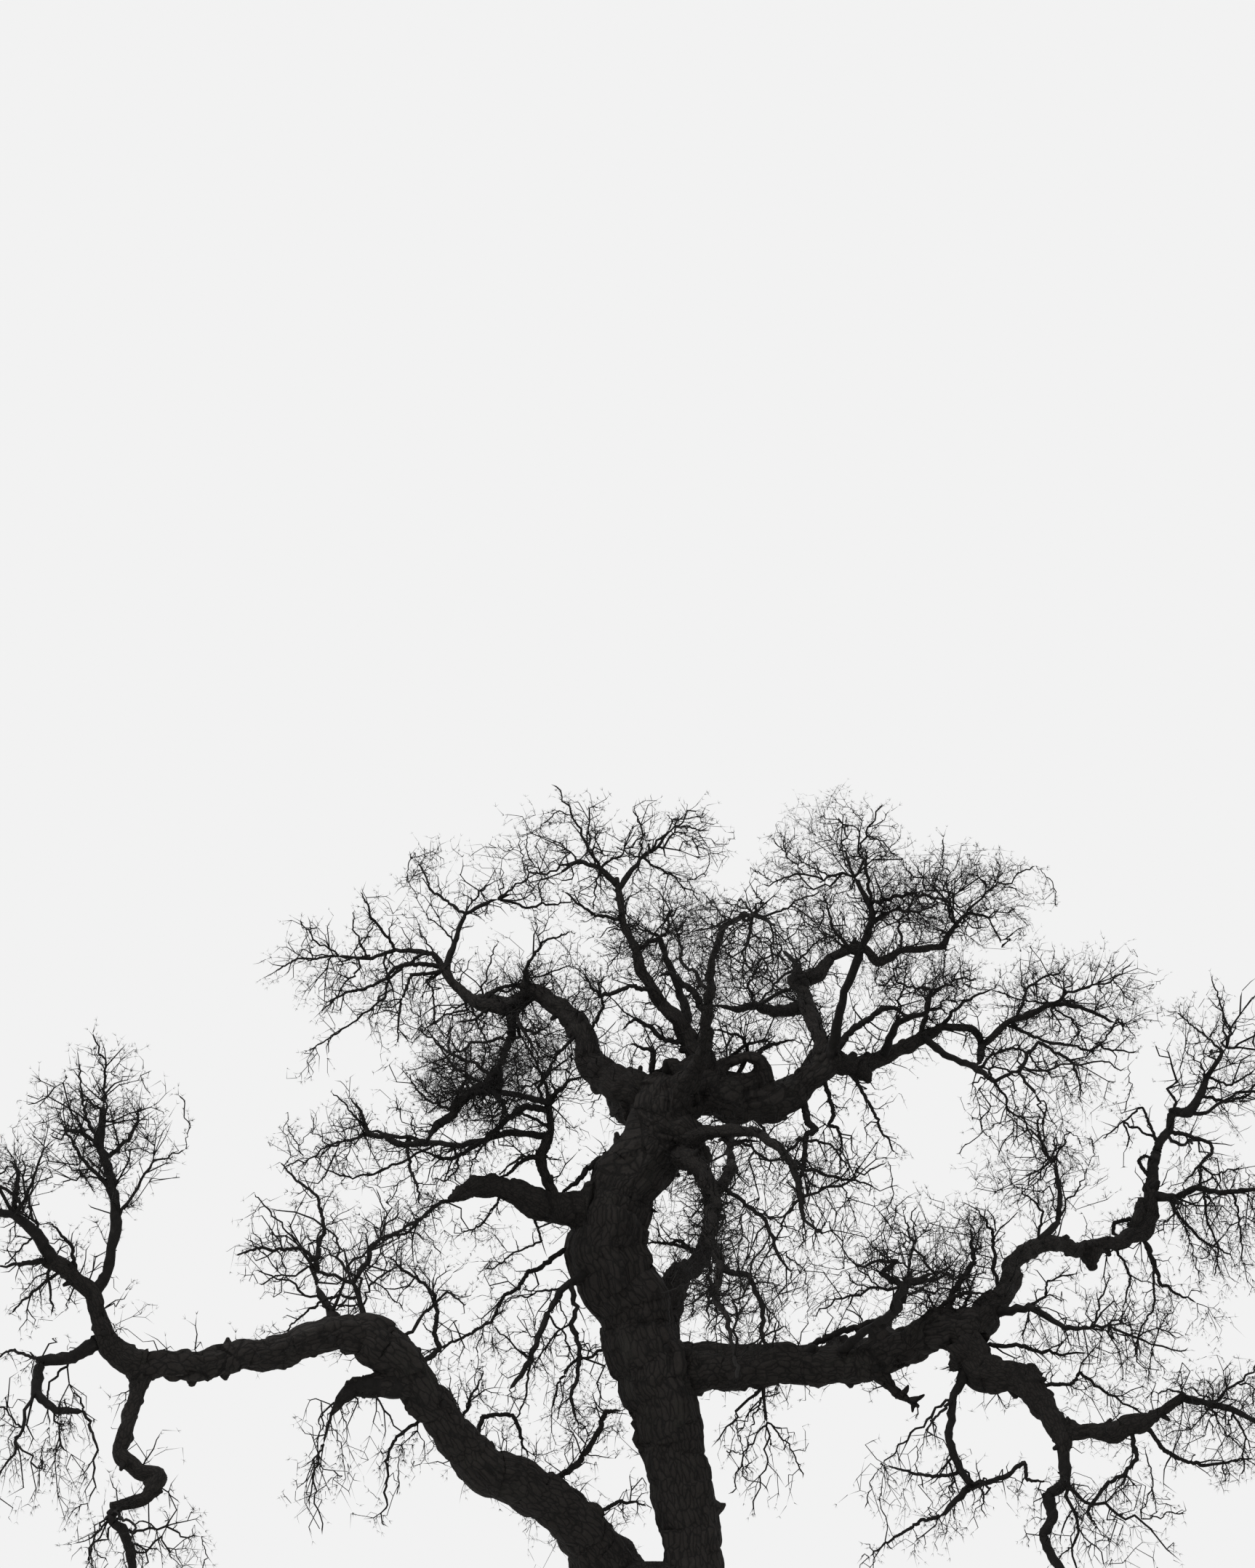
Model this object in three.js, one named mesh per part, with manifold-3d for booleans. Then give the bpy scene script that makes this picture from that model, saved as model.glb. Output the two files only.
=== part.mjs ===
// A bare, wide-spreading winter oak: a short fluted trunk that forks into a leader and a great west bough,
// crooked boughs all round, and masses of twigs that grow by one seeded rule. Millimetres, +Z up.
// The origin is the middle of the flat cut under the trunk, at ground level.
import * as THREE from "three";
import { mergeVertices } from "three/addons/utils/BufferGeometryUtils.js";
import Module from "manifold-3d";

const wasm = await Module();
wasm.setup();

// The tree was sighted from one standing point. A place on it is given in metres, as
// [across, up, behind]: across and up are read on a plane square to the line of sight, from the
// crotch of the lowest fork, and behind is how far north of the trunk (+Y) the place lies.
const METRE = 1000;
const STANDING_DISTANCE = 40;
const EYE_HEIGHT = 1.6;
const EYE_WEST_OF_TRUNK = 0.42;
const SIGHT_PITCH = THREE.MathUtils.degToRad(16.2);
const SIGHT_AXIS_ABOVE_CROTCH = 10.78;

const SEAM = 0.3; // clear gap where one piece of wood meets another
const TWIG_CLEARANCE = 25; // a twig passes at least this far from a limb's bark
const TWIG_GAP = 2; // and at least this far from another mass's twigs
const LIMB_SIDES = 8;
const RINGS_PER_REACH = 1; // rings of a limb between two sighted places
const STEM_SIDES = 4;
const TWIG_SIDES = 3;

// Trunk: [height, half width east-west, half width north-south] of its sections, in metres.
const TRUNK_SECTIONS = [
  [0, 1.12, 1.06],
  [0.16, 0.99, 0.93],
  [0.42, 0.86, 0.8],
  [0.85, 0.78, 0.72],
  [1.35, 0.77, 0.69],
  [1.8, 0.82, 0.68],
  [2.12, 0.88, 0.65],
  [2.34, 0.86, 0.58],
  [2.46, 0.66, 0.4],
];
const TRUNK_SIDES = 20;
const ROOT_FLUTES = 5; // buttresses round the foot
const FLUTE_DEPTH = 0.13; // share of the radius, at ground level
const FLUTE_TURN = 0.6; // where the first buttress stands, in radians
const FLUTE_FADES_AT = 1.5; // metres above the ground
const TRUNK_TOP_ACROSS = -0.08; // the trunk leans until its top is here

// Boughs: [across, up, behind, thickness] in metres. Each starts inside the limb that bears it.
const BOUGHS = {
  leader: [
    [0.3, -0.5, 0, 0.92], [0.46, 0.05, 0, 0.8], [0.25, 1.56, 0, 0.84], [0, 2.51, 0, 1.02],
    [-0.27, 3.36, 0, 1.04], [-0.75, 4.3, 0, 1.12], [-0.55, 5.16, 0, 1.0], [-0.04, 5.66, 0, 0.94],
    [0.03, 6.16, 0, 0.84], [0.12, 6.72, 0, 0.8],
  ],
  west_bough: [
    [-0.42, -0.5, 0, 0.8], [-0.67, 0.02, -0.15, 0.76], [-1.15, 0.71, -0.6, 0.67],
    [-1.85, 1.11, -1.1, 0.68], [-2.5, 1.44, -1.5, 0.64], [-2.98, 2.06, -1.9, 0.52],
    [-3.45, 2.71, -2.2, 0.62], [-3.7, 2.98, -2.32, 0.64],
  ],
  west_bough_outer: [
    [-3.45, 2.72, -2.2, 0.5], [-3.92, 3.12, -2.45, 0.58], [-4.4, 3.22, -2.65, 0.47],
    [-4.75, 3.15, -2.85, 0.52], [-5.09, 2.97, -3.0, 0.48], [-5.55, 2.93, -3.2, 0.4],
    [-6.05, 2.88, -3.45, 0.41], [-6.43, 2.81, -3.6, 0.46], [-6.8, 2.88, -3.8, 0.38],
    [-7.22, 2.72, -4.0, 0.36],
  ],
  west_rise: [
    [-7.1, 2.7, -3.95, 0.3], [-7.36, 2.88, -4.05, 0.34], [-7.56, 3.12, -4.1, 0.32],
    [-7.75, 3.46, -4.2, 0.25], [-7.8, 3.74, -4.3, 0.26], [-8.1, 4.06, -4.5, 0.25],
    [-8.36, 4.23, -4.7, 0.28],
  ],
  west_drop: [
    [-7.16, 2.72, -3.98, 0.22], [-7.18, 2.41, -4.05, 0.22], [-7.27, 2.06, -4.15, 0.22],
    [-7.4, 1.66, -4.25, 0.26], [-7.2, 1.36, -4.35, 0.22], [-6.88, 1.24, -4.4, 0.27],
    [-7.08, 0.94, -4.5, 0.17], [-7.5, 0.84, -4.6, 0.16],
  ],
  broken_bough: [
    [-0.85, 4.94, -0.1, 0.5], [-1.45, 4.94, -0.35, 0.42], [-1.77, 4.98, -0.5, 0.42],
    [-2.05, 5.14, -0.65, 0.33], [-2.45, 5.2, -0.85, 0.3], [-2.71, 5.15, -0.95, 0.22],
    [-2.86, 5.06, -1.0, 0.1],
  ],
  nw_limb: [
    [-0.1, 6.4, 0.1, 0.55], [-0.52, 6.54, 0.3, 0.5], [-0.88, 6.9, 0.5, 0.4], [-0.97, 7.2, 0.6, 0.32],
    [-1.05, 7.5, 0.7, 0.34], [-1.4, 7.72, 0.85, 0.27], [-1.7, 7.92, 1.0, 0.27], [-1.95, 7.82, 1.15, 0.23],
    [-2.2, 7.74, 1.3, 0.24], [-2.55, 7.84, 1.45, 0.17], [-2.82, 8.05, 1.6, 0.14],
    [-2.95, 8.26, 1.7, 0.15],
  ],
  top_leader: [
    [0.25, 6.6, 0, 0.6], [0.58, 7.0, 0.05, 0.4], [0.4, 7.36, 0.1, 0.28], [0.05, 7.8, 0.15, 0.18],
    [-0.2, 8.15, 0.2, 0.2], [-0.3, 8.5, 0.2, 0.13], [-0.48, 8.85, 0.25, 0.11], [-0.57, 9.48, 0.3, 0.1],
  ],
  ne_bough: [
    [0.1, 6.5, 0, 0.78], [0.55, 6.58, 0.1, 0.7], [1.05, 6.5, 0.2, 0.62], [1.55, 6.44, 0.3, 0.56],
    [1.95, 6.58, 0.4, 0.5], [2.22, 6.86, 0.4, 0.44], [2.4, 7.05, 0.4, 0.38],
  ],
  ne_outer: [
    [2.3, 6.95, 0.4, 0.28], [2.65, 6.94, 0.6, 0.24], [2.97, 6.97, 0.8, 0.26], [3.3, 7.16, 1, 0.2],
    [3.6, 7.28, 1.1, 0.2], [3.88, 7.42, 1.2, 0.14], [4.28, 7.43, 1.3, 0.12], [4.47, 7.2, 1.4, 0.1],
    [4.8, 7.48, 1.5, 0.1], [5.15, 7.62, 1.6, 0.1],
  ],
  ne_contorted: [
    [2.36, 6.98, 0.4, 0.24], [2.25, 7.3, 0.7, 0.2], [2.13, 7.6, 1.0, 0.2], [1.98, 7.88, 1.3, 0.2],
    [1.88, 8.12, 1.5, 0.22], [2.2, 8.17, 1.6, 0.2], [2.4, 8.4, 1.7, 0.14], [2.75, 8.53, 1.8, 0.15],
    [3.05, 8.32, 1.9, 0.13], [3.35, 8.5, 2.0, 0.11], [3.95, 8.55, 2.2, 0.09],
  ],
  shoulder_limb: [
    [0.2, 5.85, -0.1, 0.34], [0.72, 5.98, -0.5, 0.2], [1.15, 6.0, -1.0, 0.16], [1.45, 5.94, -1.4, 0.14],
    [1.65, 5.76, -1.8, 0.12], [1.9, 5.5, -2.3, 0.12],
  ],
  south_bough: [
    [0.2, 5.7, -0.15, 0.34], [0.6, 5.42, -0.8, 0.22], [0.78, 4.95, -1.5, 0.18], [0.7, 4.6, -2.3, 0.15],
    [0.84, 4.2, -3, 0.13], [0.76, 3.75, -3.9, 0.11], [0.98, 3.4, -4.6, 0.09],
  ],
  south_top: [
    [0.2, 6.45, -0.1, 0.4], [0.55, 6.95, -0.7, 0.24], [0.66, 7.35, -1.3, 0.18], [0.7, 7.8, -1.9, 0.15],
    [0.73, 8.35, -2.7, 0.12], [0.86, 8.8, -3.4, 0.1], [1.2, 9, -4, 0.09],
  ],
  north_bough: [
    [0.02, 2.7, 0.2, 0.5], [0.02, 3.3, 0.62, 0.46], [0.1, 3.82, 0.85, 0.42], [0.3, 4.08, 1.1, 0.3],
    [0.6, 4.3, 1.7, 0.24], [0.75, 4.95, 2.3, 0.22], [0.7, 5, 3.1, 0.18], [1.05, 5.5, 3.8, 0.16],
    [1, 5.6, 4.4, 0.13],
  ],
  north_west_bough: [
    [-0.3, 6.35, 0.2, 0.42], [-0.64, 6.6, 1, 0.34], [-0.92, 7.0, 1.7, 0.28], [-1.02, 7.4, 2.6, 0.25],
    [-1.35, 7.68, 3.3, 0.21], [-1.68, 7.9, 4.1, 0.18], [-2.05, 7.78, 4.7, 0.14],
  ],
  north_east_bough: [
    [0.3, 6.55, 0.2, 0.42], [0.9, 6.55, 1, 0.34], [1.5, 6.48, 1.8, 0.28], [2.02, 6.75, 2.6, 0.24],
    [2.22, 7.3, 3.3, 0.2], [2.12, 7.7, 4.1, 0.17], [1.95, 8, 4.9, 0.13],
  ],
  east_bough: [
    [0, 2.75, 0, 0.64], [0.55, 2.76, 0, 0.62], [1.45, 2.77, -0.2, 0.56], [2.15, 2.74, -0.4, 0.56],
    [2.75, 2.78, -0.6, 0.5], [3.15, 3.0, -0.8, 0.54], [3.55, 3.17, -1.0, 0.48], [3.95, 3.27, -1.2, 0.52],
    [4.35, 3.24, -1.4, 0.54],
  ],
  east_upper: [
    [4.3, 3.2, -1.4, 0.4], [4.6, 3.52, -1.2, 0.4], [4.77, 3.91, -0.9, 0.3], [4.88, 4.2, -0.6, 0.26],
    [5.16, 4.43, -0.2, 0.25], [5.55, 4.46, 0.3, 0.21], [5.87, 4.4, 0.7, 0.21], [6.25, 4.46, 1.1, 0.19],
    [6.58, 4.56, 1.5, 0.23], [6.74, 4.86, 1.7, 0.23], [6.78, 5.2, 1.8, 0.21], [6.8, 5.36, 1.84, 0.17],
  ],
  east_lower: [
    [4.2, 3.1, -1.4, 0.46], [4.48, 2.78, -1.6, 0.5], [4.86, 2.64, -1.8, 0.42], [5.16, 2.5, -2.0, 0.43],
    [5.36, 2.2, -2.1, 0.34], [5.55, 1.9, -2.2, 0.32], [5.57, 1.56, -2.3, 0.18],
  ],
  east_far: [
    [5.48, 1.88, -2.2, 0.24], [5.95, 1.85, -2.3, 0.2], [6.25, 1.8, -2.4, 0.26], [6.52, 1.9, -2.5, 0.34],
    [6.76, 2.02, -2.6, 0.2], [7.0, 2.2, -2.7, 0.15], [7.23, 2.38, -2.8, 0.13],
  ],
  north_west_low: [
    [-0.4, -0.3, 0.2, 0.6], [-0.85, 0.45, 0.8, 0.5], [-1.45, 0.95, 1.7, 0.42], [-2.1, 1.3, 2.6, 0.36],
    [-2.9, 1.95, 3.2, 0.3], [-3.5, 2.8, 3.9, 0.25], [-4.2, 3.15, 4.1, 0.2],
  ],
  north_east_low: [
    [0.1, 2.55, 0.15, 0.44], [0.75, 2.72, 0.9, 0.36], [1.5, 2.75, 1.9, 0.3], [2.1, 2.72, 2.7, 0.26],
    [2.45, 3.05, 3.5, 0.22], [3.1, 3.05, 4.1, 0.18], [3.2, 3.5, 4.9, 0.14],
  ],
};

// Wood fused to the bough it springs from: the leader's east shoulder, a dead, broken spur, and the tall
// riser on the broken bough.
const FUSED = {
  leader: [[0, 6.2, 0, 0.8], [0.3, 5.88, -0.05, 0.66], [0.66, 5.62, -0.1, 0.26]],
  east_bough: [
    [2.9, 2.75, -0.7, 0.3], [3.2, 2.44, -0.85, 0.15], [3.4, 2.35, -0.9, 0.11], [3.58, 2.22, -0.95, 0.06],
  ],
  broken_bough: [
    [-1.43, 4.95, -0.35, 0.2], [-1.57, 5.42, -0.38, 0.14], [-1.66, 5.64, -0.4, 0.12],
    [-1.5, 5.97, -0.44, 0.12], [-1.5, 6.5, -0.5, 0.1],
  ],
};

// Masses of twigs. stem: the first wood, [across, up, behind, thickness] in metres, from inside its limb.
// at: the middle of the mass's own space, [across, up, behind]; size: half its width, depth and height.
// hangs: 0 for twigs that spread, up to 1 for twigs that weep.
const MASSES = {
  west_spire_twigs: {
    stem: [[-7.78, 3.7, -4.3, 0.16], [-7.58, 4.05, -4.3, 0.15], [-7.45, 4.76, -4.3, 0.15],
      [-7.5, 5.3, -4.3, 0.14], [-7.67, 5.75, -4.3, 0.12], [-7.62, 6.4, -4.3, 0.09]],
    at: [-7.65, 6.1, -4.3], size: [1.2, 1.3, 1.35], hangs: 0,
  },
  west_limb_twigs: {
    stem: [[-8.3, 4.2, -4.7, 0.18], [-8.55, 4.6, -4.9, 0.16], [-8.85, 4.85, -5.1, 0.13],
      [-9.2, 4.9, -5.3, 0.1], [-9.7, 5.1, -5.5, 0.08]],
    at: [-9.5, 5.3, -5.2], size: [1.2, 1.4, 1.3], hangs: 0,
  },
  west_crook_twigs: {
    stem: [[-7.72, 3.1, -4.1, 0.22], [-8.05, 2.9, -4.3, 0.18], [-8.5, 2.84, -4.5, 0.16],
      [-8.55, 2.4, -4.7, 0.14], [-8.3, 2.18, -4.8, 0.1], [-7.9, 2.15, -4.9, 0.09]],
    at: [-8.6, 1.5, -4.9], size: [1.15, 1.2, 1.25], hangs: 1,
  },
  west_drop_twigs: {
    stem: [[-7.4, 0.84, -4.58, 0.14], [-7.55, 0.7, -4.65, 0.14], [-7.35, 0.5, -4.7, 0.14],
      [-7.25, 0.2, -4.75, 0.14], [-7.2, -0.2, -4.8, 0.1]],
    at: [-7.1, 0.15, -4.7], size: [1.05, 1.1, 0.95], hangs: 0.7,
  },
  nw_left_twigs: {
    stem: [[-2.93, 8.22, 1.68, 0.12], [-3.1, 8.45, 1.8, 0.08], [-3.6, 8.5, 2.0, 0.07],
      [-4.0, 8.38, 2.1, 0.06], [-4.4, 8.42, 2.1, 0.05]],
    at: [-4.15, 8.25, 2.0], size: [1.3, 1.4, 1.0], hangs: 0.3,
  },
  nw_top_twigs: {
    stem: [[-2.94, 8.2, 1.7, 0.12], [-2.8, 8.6, 1.75, 0.08], [-2.65, 9.0, 1.8, 0.07],
      [-2.2, 9.2, 1.9, 0.06]],
    at: [-2.5, 9.4, 1.8], size: [1.3, 1.3, 0.75], hangs: 0,
  },
  broom_twigs: {
    stem: [[-1.5, 6.4, -0.5, 0.1], [-1.9, 6.5, -0.9, 0.09], [-2.3, 6.55, -1.3, 0.09],
      [-2.75, 6.5, -1.7, 0.07]],
    at: [-2.55, 6.75, -1.6], size: [1, 1.3, 0.85], hangs: 0,
  },
  left_outer_twigs: {
    stem: [[-1.52, 5.95, -0.44, 0.1], [-2.1, 5.98, -0.3, 0.09], [-2.7, 5.8, 0, 0.09],
      [-3.3, 5.88, 0.3, 0.07], [-4, 6, 0.5, 0.06]],
    at: [-4.15, 5.7, 0.4], size: [1.25, 1.3, 1], hangs: 0.3,
  },
  left_mid_twigs: {
    stem: [[-4.0, 3.2, -2.5, 0.12], [-4.08, 3.6, -2.5, 0.08], [-4.2, 3.92, -2.5, 0.07],
      [-4.7, 4.08, -2.6, 0.06], [-4.9, 4.4, -2.6, 0.05]],
    at: [-4.6, 4.45, -2.5], size: [1.5, 1.4, 1.0], hangs: 0.2,
  },
  left_hanging_twigs: {
    stem: [[-3.5, 2.55, -2.25, 0.42], [-3.9, 2.5, -2.4, 0.34], [-4.22, 2.47, -2.5, 0.28],
      [-4.28, 2.42, -2.52, 0.09], [-4.5, 2.1, -2.6, 0.06], [-4.6, 1.7, -2.6, 0.05]],
    at: [-4.35, 1.35, -2.6], size: [0.95, 1.1, 1.15], hangs: 1,
  },
  inner_left_twigs: {
    stem: [[-0.9, 4.1, -0.2, 0.2], [-1.3, 3.85, -0.7, 0.1], [-1.52, 3.5, -1.0, 0.09],
      [-1.75, 2.85, -1.3, 0.09], [-2.05, 2.45, -1.5, 0.07]],
    at: [-1.95, 2.9, -0.9], size: [0.95, 1.1, 1.1], hangs: 0.3,
  },
  top_left_twigs: {
    stem: [[-0.57, 9.4, 0.3, 0.1], [-0.8, 9.62, 0.3, 0.08], [-1.1, 9.72, 0.3, 0.07],
      [-1.35, 9.55, 0.3, 0.05]],
    at: [-1.2, 9.85, 0.3], size: [1.2, 1.3, 1.0], hangs: 0,
  },
  top_right_twigs: {
    stem: [[-0.57, 9.3, 0.3, 0.1], [-0.25, 9.75, 0.4, 0.07], [0, 9.92, 0.5, 0.06],
      [0.15, 10.15, 0.5, 0.05]],
    at: [0.25, 9.9, 0.5], size: [0.95, 1.2, 0.95], hangs: 0,
  },
  top_middle_twigs: {
    stem: [[0.5, 7.05, 0.08, 0.2], [0.35, 7.8, 0.5, 0.12], [0.15, 8.3, 0.8, 0.1], [0, 8.7, 1, 0.08]],
    at: [0.1, 8.75, 1], size: [1.2, 1.4, 0.95], hangs: 0,
  },
  south_top_twigs: {
    stem: [[1.16, 8.98, -3.93, 0.08], [1.5, 9.14, -4.4, 0.07], [1.75, 9.4, -4.8, 0.06]],
    at: [1.3, 8.65, -4.3], size: [1.4, 1.6, 0.95], hangs: 0,
  },
  ne_fork_twigs: {
    stem: [[2.36, 6.9, 0.35, 0.2], [2.45, 7.4, 0.05, 0.14], [2.55, 7.86, -0.4, 0.12],
      [2.76, 8.4, -0.9, 0.12], [2.95, 9.0, -1.1, 0.1], [2.7, 9.5, -1.2, 0.07]],
    at: [2.5, 9.6, -1.1], size: [1.3, 1.5, 1.15], hangs: 0,
  },
  ne_contorted_twigs: {
    stem: [[3.9, 8.55, 2.18, 0.1], [4.1, 8.85, 2.3, 0.07], [4.25, 9.0, 2.4, 0.06],
      [4.6, 8.95, 2.5, 0.05]],
    at: [4.2, 9.2, 2.0], size: [1.35, 1.5, 0.9], hangs: 0,
  },
  ne_middle_twigs: {
    stem: [[3.1, 7.03, 0.87, 0.14], [3.3, 7.5, 0.4, 0.09], [3.7, 7.65, -0.2, 0.08],
      [3.75, 7.95, -0.6, 0.07]],
    at: [3.6, 8.1, -0.9], size: [1.05, 1.3, 0.65], hangs: 0,
  },
  ne_far_twigs: {
    stem: [[5.05, 7.58, 1.57, 0.1], [5.4, 7.75, 1.7, 0.08], [5.8, 7.72, 1.9, 0.07],
      [6.3, 7.5, 2.1, 0.05]],
    at: [5.75, 7.85, 1.9], size: [1.35, 1.5, 0.9], hangs: 0,
  },
  ne_low_twigs: {
    stem: [[3.65, 7.29, 1.1, 0.12], [4, 7.03, 0.8, 0.1], [4.35, 6.9, 0.3, 0.1], [4.6, 6.7, -0.3, 0.07],
      [4.95, 6.82, -0.8, 0.06], [5.2, 6.5, -1.1, 0.06]],
    at: [5.3, 6.45, -0.8], size: [1.35, 1.4, 0.95], hangs: 0.5,
  },
  shoulder_twigs: {
    stem: [[1.85, 5.54, -2.25, 0.12], [1.97, 5.1, -2.5, 0.08], [2.0, 4.8, -2.6, 0.07],
      [2.25, 4.6, -2.8, 0.05]],
    at: [2.3, 5.0, -2.7], size: [1.25, 1.4, 1.15], hangs: 0.6,
  },
  south_twigs: {
    stem: [[0.97, 3.43, -4.55, 0.08], [1.05, 2.9, -5.2, 0.07], [1.1, 2.6, -5.7, 0.06]],
    at: [1.1, 3.9, -4.9], size: [1.3, 1.5, 1.15], hangs: 0.6,
  },
  north_twigs: {
    stem: [[1, 5.59, 4.3, 0.12], [1, 5.9, 4.9, 0.09], [1.05, 6.2, 5.5, 0.07]],
    at: [0.95, 5.3, 5.1], size: [1.7, 1.7, 1.2], hangs: 0.3,
  },
  north_west_twigs: {
    stem: [[-2.03, 7.79, 4.65, 0.13], [-2.4, 7.85, 5.1, 0.09], [-2.6, 7.8, 5.6, 0.07]],
    at: [-2.1, 7.6, 5.1], size: [1.5, 1.6, 1.1], hangs: 0.2,
  },
  north_east_twigs: {
    stem: [[1.97, 7.97, 4.8, 0.12], [1.9, 8.3, 5.3, 0.08], [1.7, 8.5, 5.8, 0.06]],
    at: [1.5, 8.2, 5], size: [1.5, 1.6, 1], hangs: 0,
  },
  north_west_low_twigs: {
    stem: [[-4.12, 3.12, 4.08, 0.18], [-4.5, 3.5, 4.4, 0.12], [-4.7, 3.9, 4.7, 0.08]],
    at: [-4.4, 4.2, 4.5], size: [1.6, 1.7, 1.15], hangs: 0.3,
  },
  north_east_low_twigs: {
    stem: [[3.16, 3.42, 4.75, 0.13], [3.4, 3.8, 5.3, 0.09], [3.5, 4.1, 5.8, 0.07]],
    at: [3.1, 4.0, 5.0], size: [1.7, 1.6, 1.15], hangs: 0.3,
  },
  east_top_twigs: {
    stem: [[2.5, 2.95, -0.55, 0.14], [2.85, 3.26, -1.2, 0.11], [3.25, 3.5, -1.9, 0.11],
      [3.38, 3.9, -2.6, 0.09], [3.8, 4.05, -3.1, 0.07]],
    at: [3.7, 4.45, -3.2], size: [1.1, 1.4, 0.9], hangs: 0,
  },
  east_upright_twigs: {
    stem: [[5.15, 4.42, -0.19, 0.12], [5.5, 4.75, 0.2, 0.09], [5.53, 5.1, 0.5, 0.08],
      [5.45, 5.6, 0.8, 0.06]],
    at: [5.2, 5.5, 0.9], size: [1.2, 1.3, 0.8], hangs: 0.2,
  },
  east_spire_twigs: {
    stem: [[6.79, 5.3, 1.82, 0.17], [6.82, 5.6, 1.9, 0.16], [6.9, 5.86, 2.1, 0.13],
      [7.03, 6.02, 2.2, 0.12], [7.07, 6.27, 2.3, 0.12], [7.3, 6.26, 2.4, 0.14], [7.48, 6.55, 2.5, 0.11],
      [7.55, 6.75, 2.6, 0.09], [7.82, 7.15, 2.7, 0.06]],
    at: [7.95, 6.8, 2.7], size: [1.35, 1.5, 1.5], hangs: 0.1,
  },
  east_side_twigs: {
    stem: [[6.76, 5.12, 1.77, 0.16], [7.13, 5.09, 1.5, 0.1], [7.4, 5.23, 1.2, 0.09],
      [7.78, 5.16, 0.8, 0.08], [8.3, 5.22, 0.4, 0.06]],
    at: [8, 4.7, 0.6], size: [1.4, 1.4, 0.95], hangs: 0.7,
  },
  east_middle_twigs: {
    stem: [[4.6, 3.5, -1.2, 0.16], [5.1, 3.6, -1.7, 0.1], [5.6, 3.3, -2.1, 0.08],
      [5.95, 3.3, -2.4, 0.06]],
    at: [6.2, 3.2, -2.3], size: [1.4, 1.3, 0.85], hangs: 0.4,
  },
  east_far_twigs: {
    stem: [[7.18, 2.34, -2.78, 0.12], [7.55, 2.26, -2.9, 0.09], [7.9, 2.18, -3.0, 0.09],
      [8.35, 1.95, -3.2, 0.07]],
    at: [8.0, 2.15, -3.1], size: [1.3, 1.4, 1.0], hangs: 0.5,
  },
  east_drop_twigs: {
    stem: [[5.57, 1.62, -2.28, 0.17], [5.6, 1.16, -2.4, 0.16], [5.36, 1.0, -2.45, 0.16],
      [5.43, 0.7, -2.5, 0.15], [5.3, 0.46, -2.5, 0.14], [5.45, 0.1, -2.6, 0.12], [5.7, -0.2, -2.7, 0.1]],
    at: [6.1, 0.55, -2.7], size: [1.3, 1.3, 1.2], hangs: 1,
  },
  east_hanger_twigs: {
    stem: [[4.25, 2.75, -1.6, 0.16], [4.05, 2.3, -1.75, 0.12], [4.0, 1.76, -1.9, 0.11],
      [4.15, 1.36, -2.0, 0.1], [4.3, 1.12, -2.1, 0.11], [3.85, 0.7, -2.2, 0.07]],
    at: [3.7, 0.95, -2.1], size: [1.1, 1.2, 0.95], hangs: 0.8,
  },
  east_hanging_twigs: {
    stem: [[1.45, 2.65, -0.25, 0.1], [1.45, 2.35, -0.3, 0.06], [1.5, 2.0, -0.35, 0.05]],
    at: [1.4, 1.55, -0.4], size: [0.75, 0.9, 0.95], hangs: 1,
  },
};

// Twig rule
const TWIGS_PER_MASS = 8;
const TWIG_STEP = 0.5; // metres of stem between two places a twig may leave it
const TWIG_LONG = 1.5; // a twig longer than this has a third bend
const TWIG_TIP = 0.009; // radius at a twig's end
const TWIG_THICKENS = 0.011; // radius gained with each metre of length
const TWIG_SHARE = 0.62; // most that a twig's foot may take of its parent's radius
const CROOK = 0.2; // sideways throw of a bend, as a share of the step
const SPACE_SKIN = 1.06; // how far out of its space's ellipsoid a twig may swing
const DETOUR_COST = 0.3; // how much the way back to the trunk counts against a place to branch
const TURN_COST = 0.35; // and how much a turn away from the wood's own way does
const BOW = 0.3; // how far a twig swings on along its parent before it turns to its goal
const ARCH = 0.5; // how far a weeping twig rises before it falls
const OUTER_SKIN = 0.8; // twigs reach for the part of their space from this share of its radius outwards
const PLASTIC = 1.2207440846057596; // the number whose powers spread places evenly in three dimensions

// A number from 0 to 1 for each pair of a seed and a count, the same on every run.
function chance(seed, count) {
  let h = (Math.imul(seed, 374761393) + Math.imul(count, 668265263)) | 0;
  h = Math.imul(h ^ (h >>> 13), 1274126177);
  return ((h ^ (h >>> 16)) >>> 0) / 4294967296;
}

// A sighted place, in millimetres in the tree's own frame.
function sighted([across, up, behind]) {
  const rise = up - SIGHT_AXIS_ABOVE_CROTCH;
  const ahead = STANDING_DISTANCE * Math.cos(SIGHT_PITCH) - rise * Math.sin(SIGHT_PITCH);
  const climb = STANDING_DISTANCE * Math.sin(SIGHT_PITCH) + rise * Math.cos(SIGHT_PITCH);
  const share = (STANDING_DISTANCE + behind) / ahead;
  return new THREE.Vector3(
    (across + EYE_WEST_OF_TRUNK) * share - EYE_WEST_OF_TRUNK,
    behind,
    EYE_HEIGHT + climb * share,
  ).multiplyScalar(METRE);
}

// Real size of a metre on the sighting plane at a place that lies behind (or before) the trunk.
const sightedScale = (behind) => (STANDING_DISTANCE + behind) / STANDING_DISTANCE;

// A route's middle line and radii, with rings between its sighted places.
function line(route, ringsPerReach) {
  const curve = new THREE.CatmullRomCurve3(route.map(sighted), false, "centripetal");
  const count = (route.length - 1) * ringsPerReach;
  const points = curve.getPoints(count);
  const radii = points.map((_, i) => {
    const place = Math.min(i / ringsPerReach, route.length - 1.001);
    const [a, b] = [route[Math.floor(place)], route[Math.floor(place) + 1]];
    const between = (k) => THREE.MathUtils.lerp(a[k], b[k], place % 1);
    return (between(3) * sightedScale(between(2)) * METRE) / 2;
  });
  return { points, radii };
}

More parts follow.
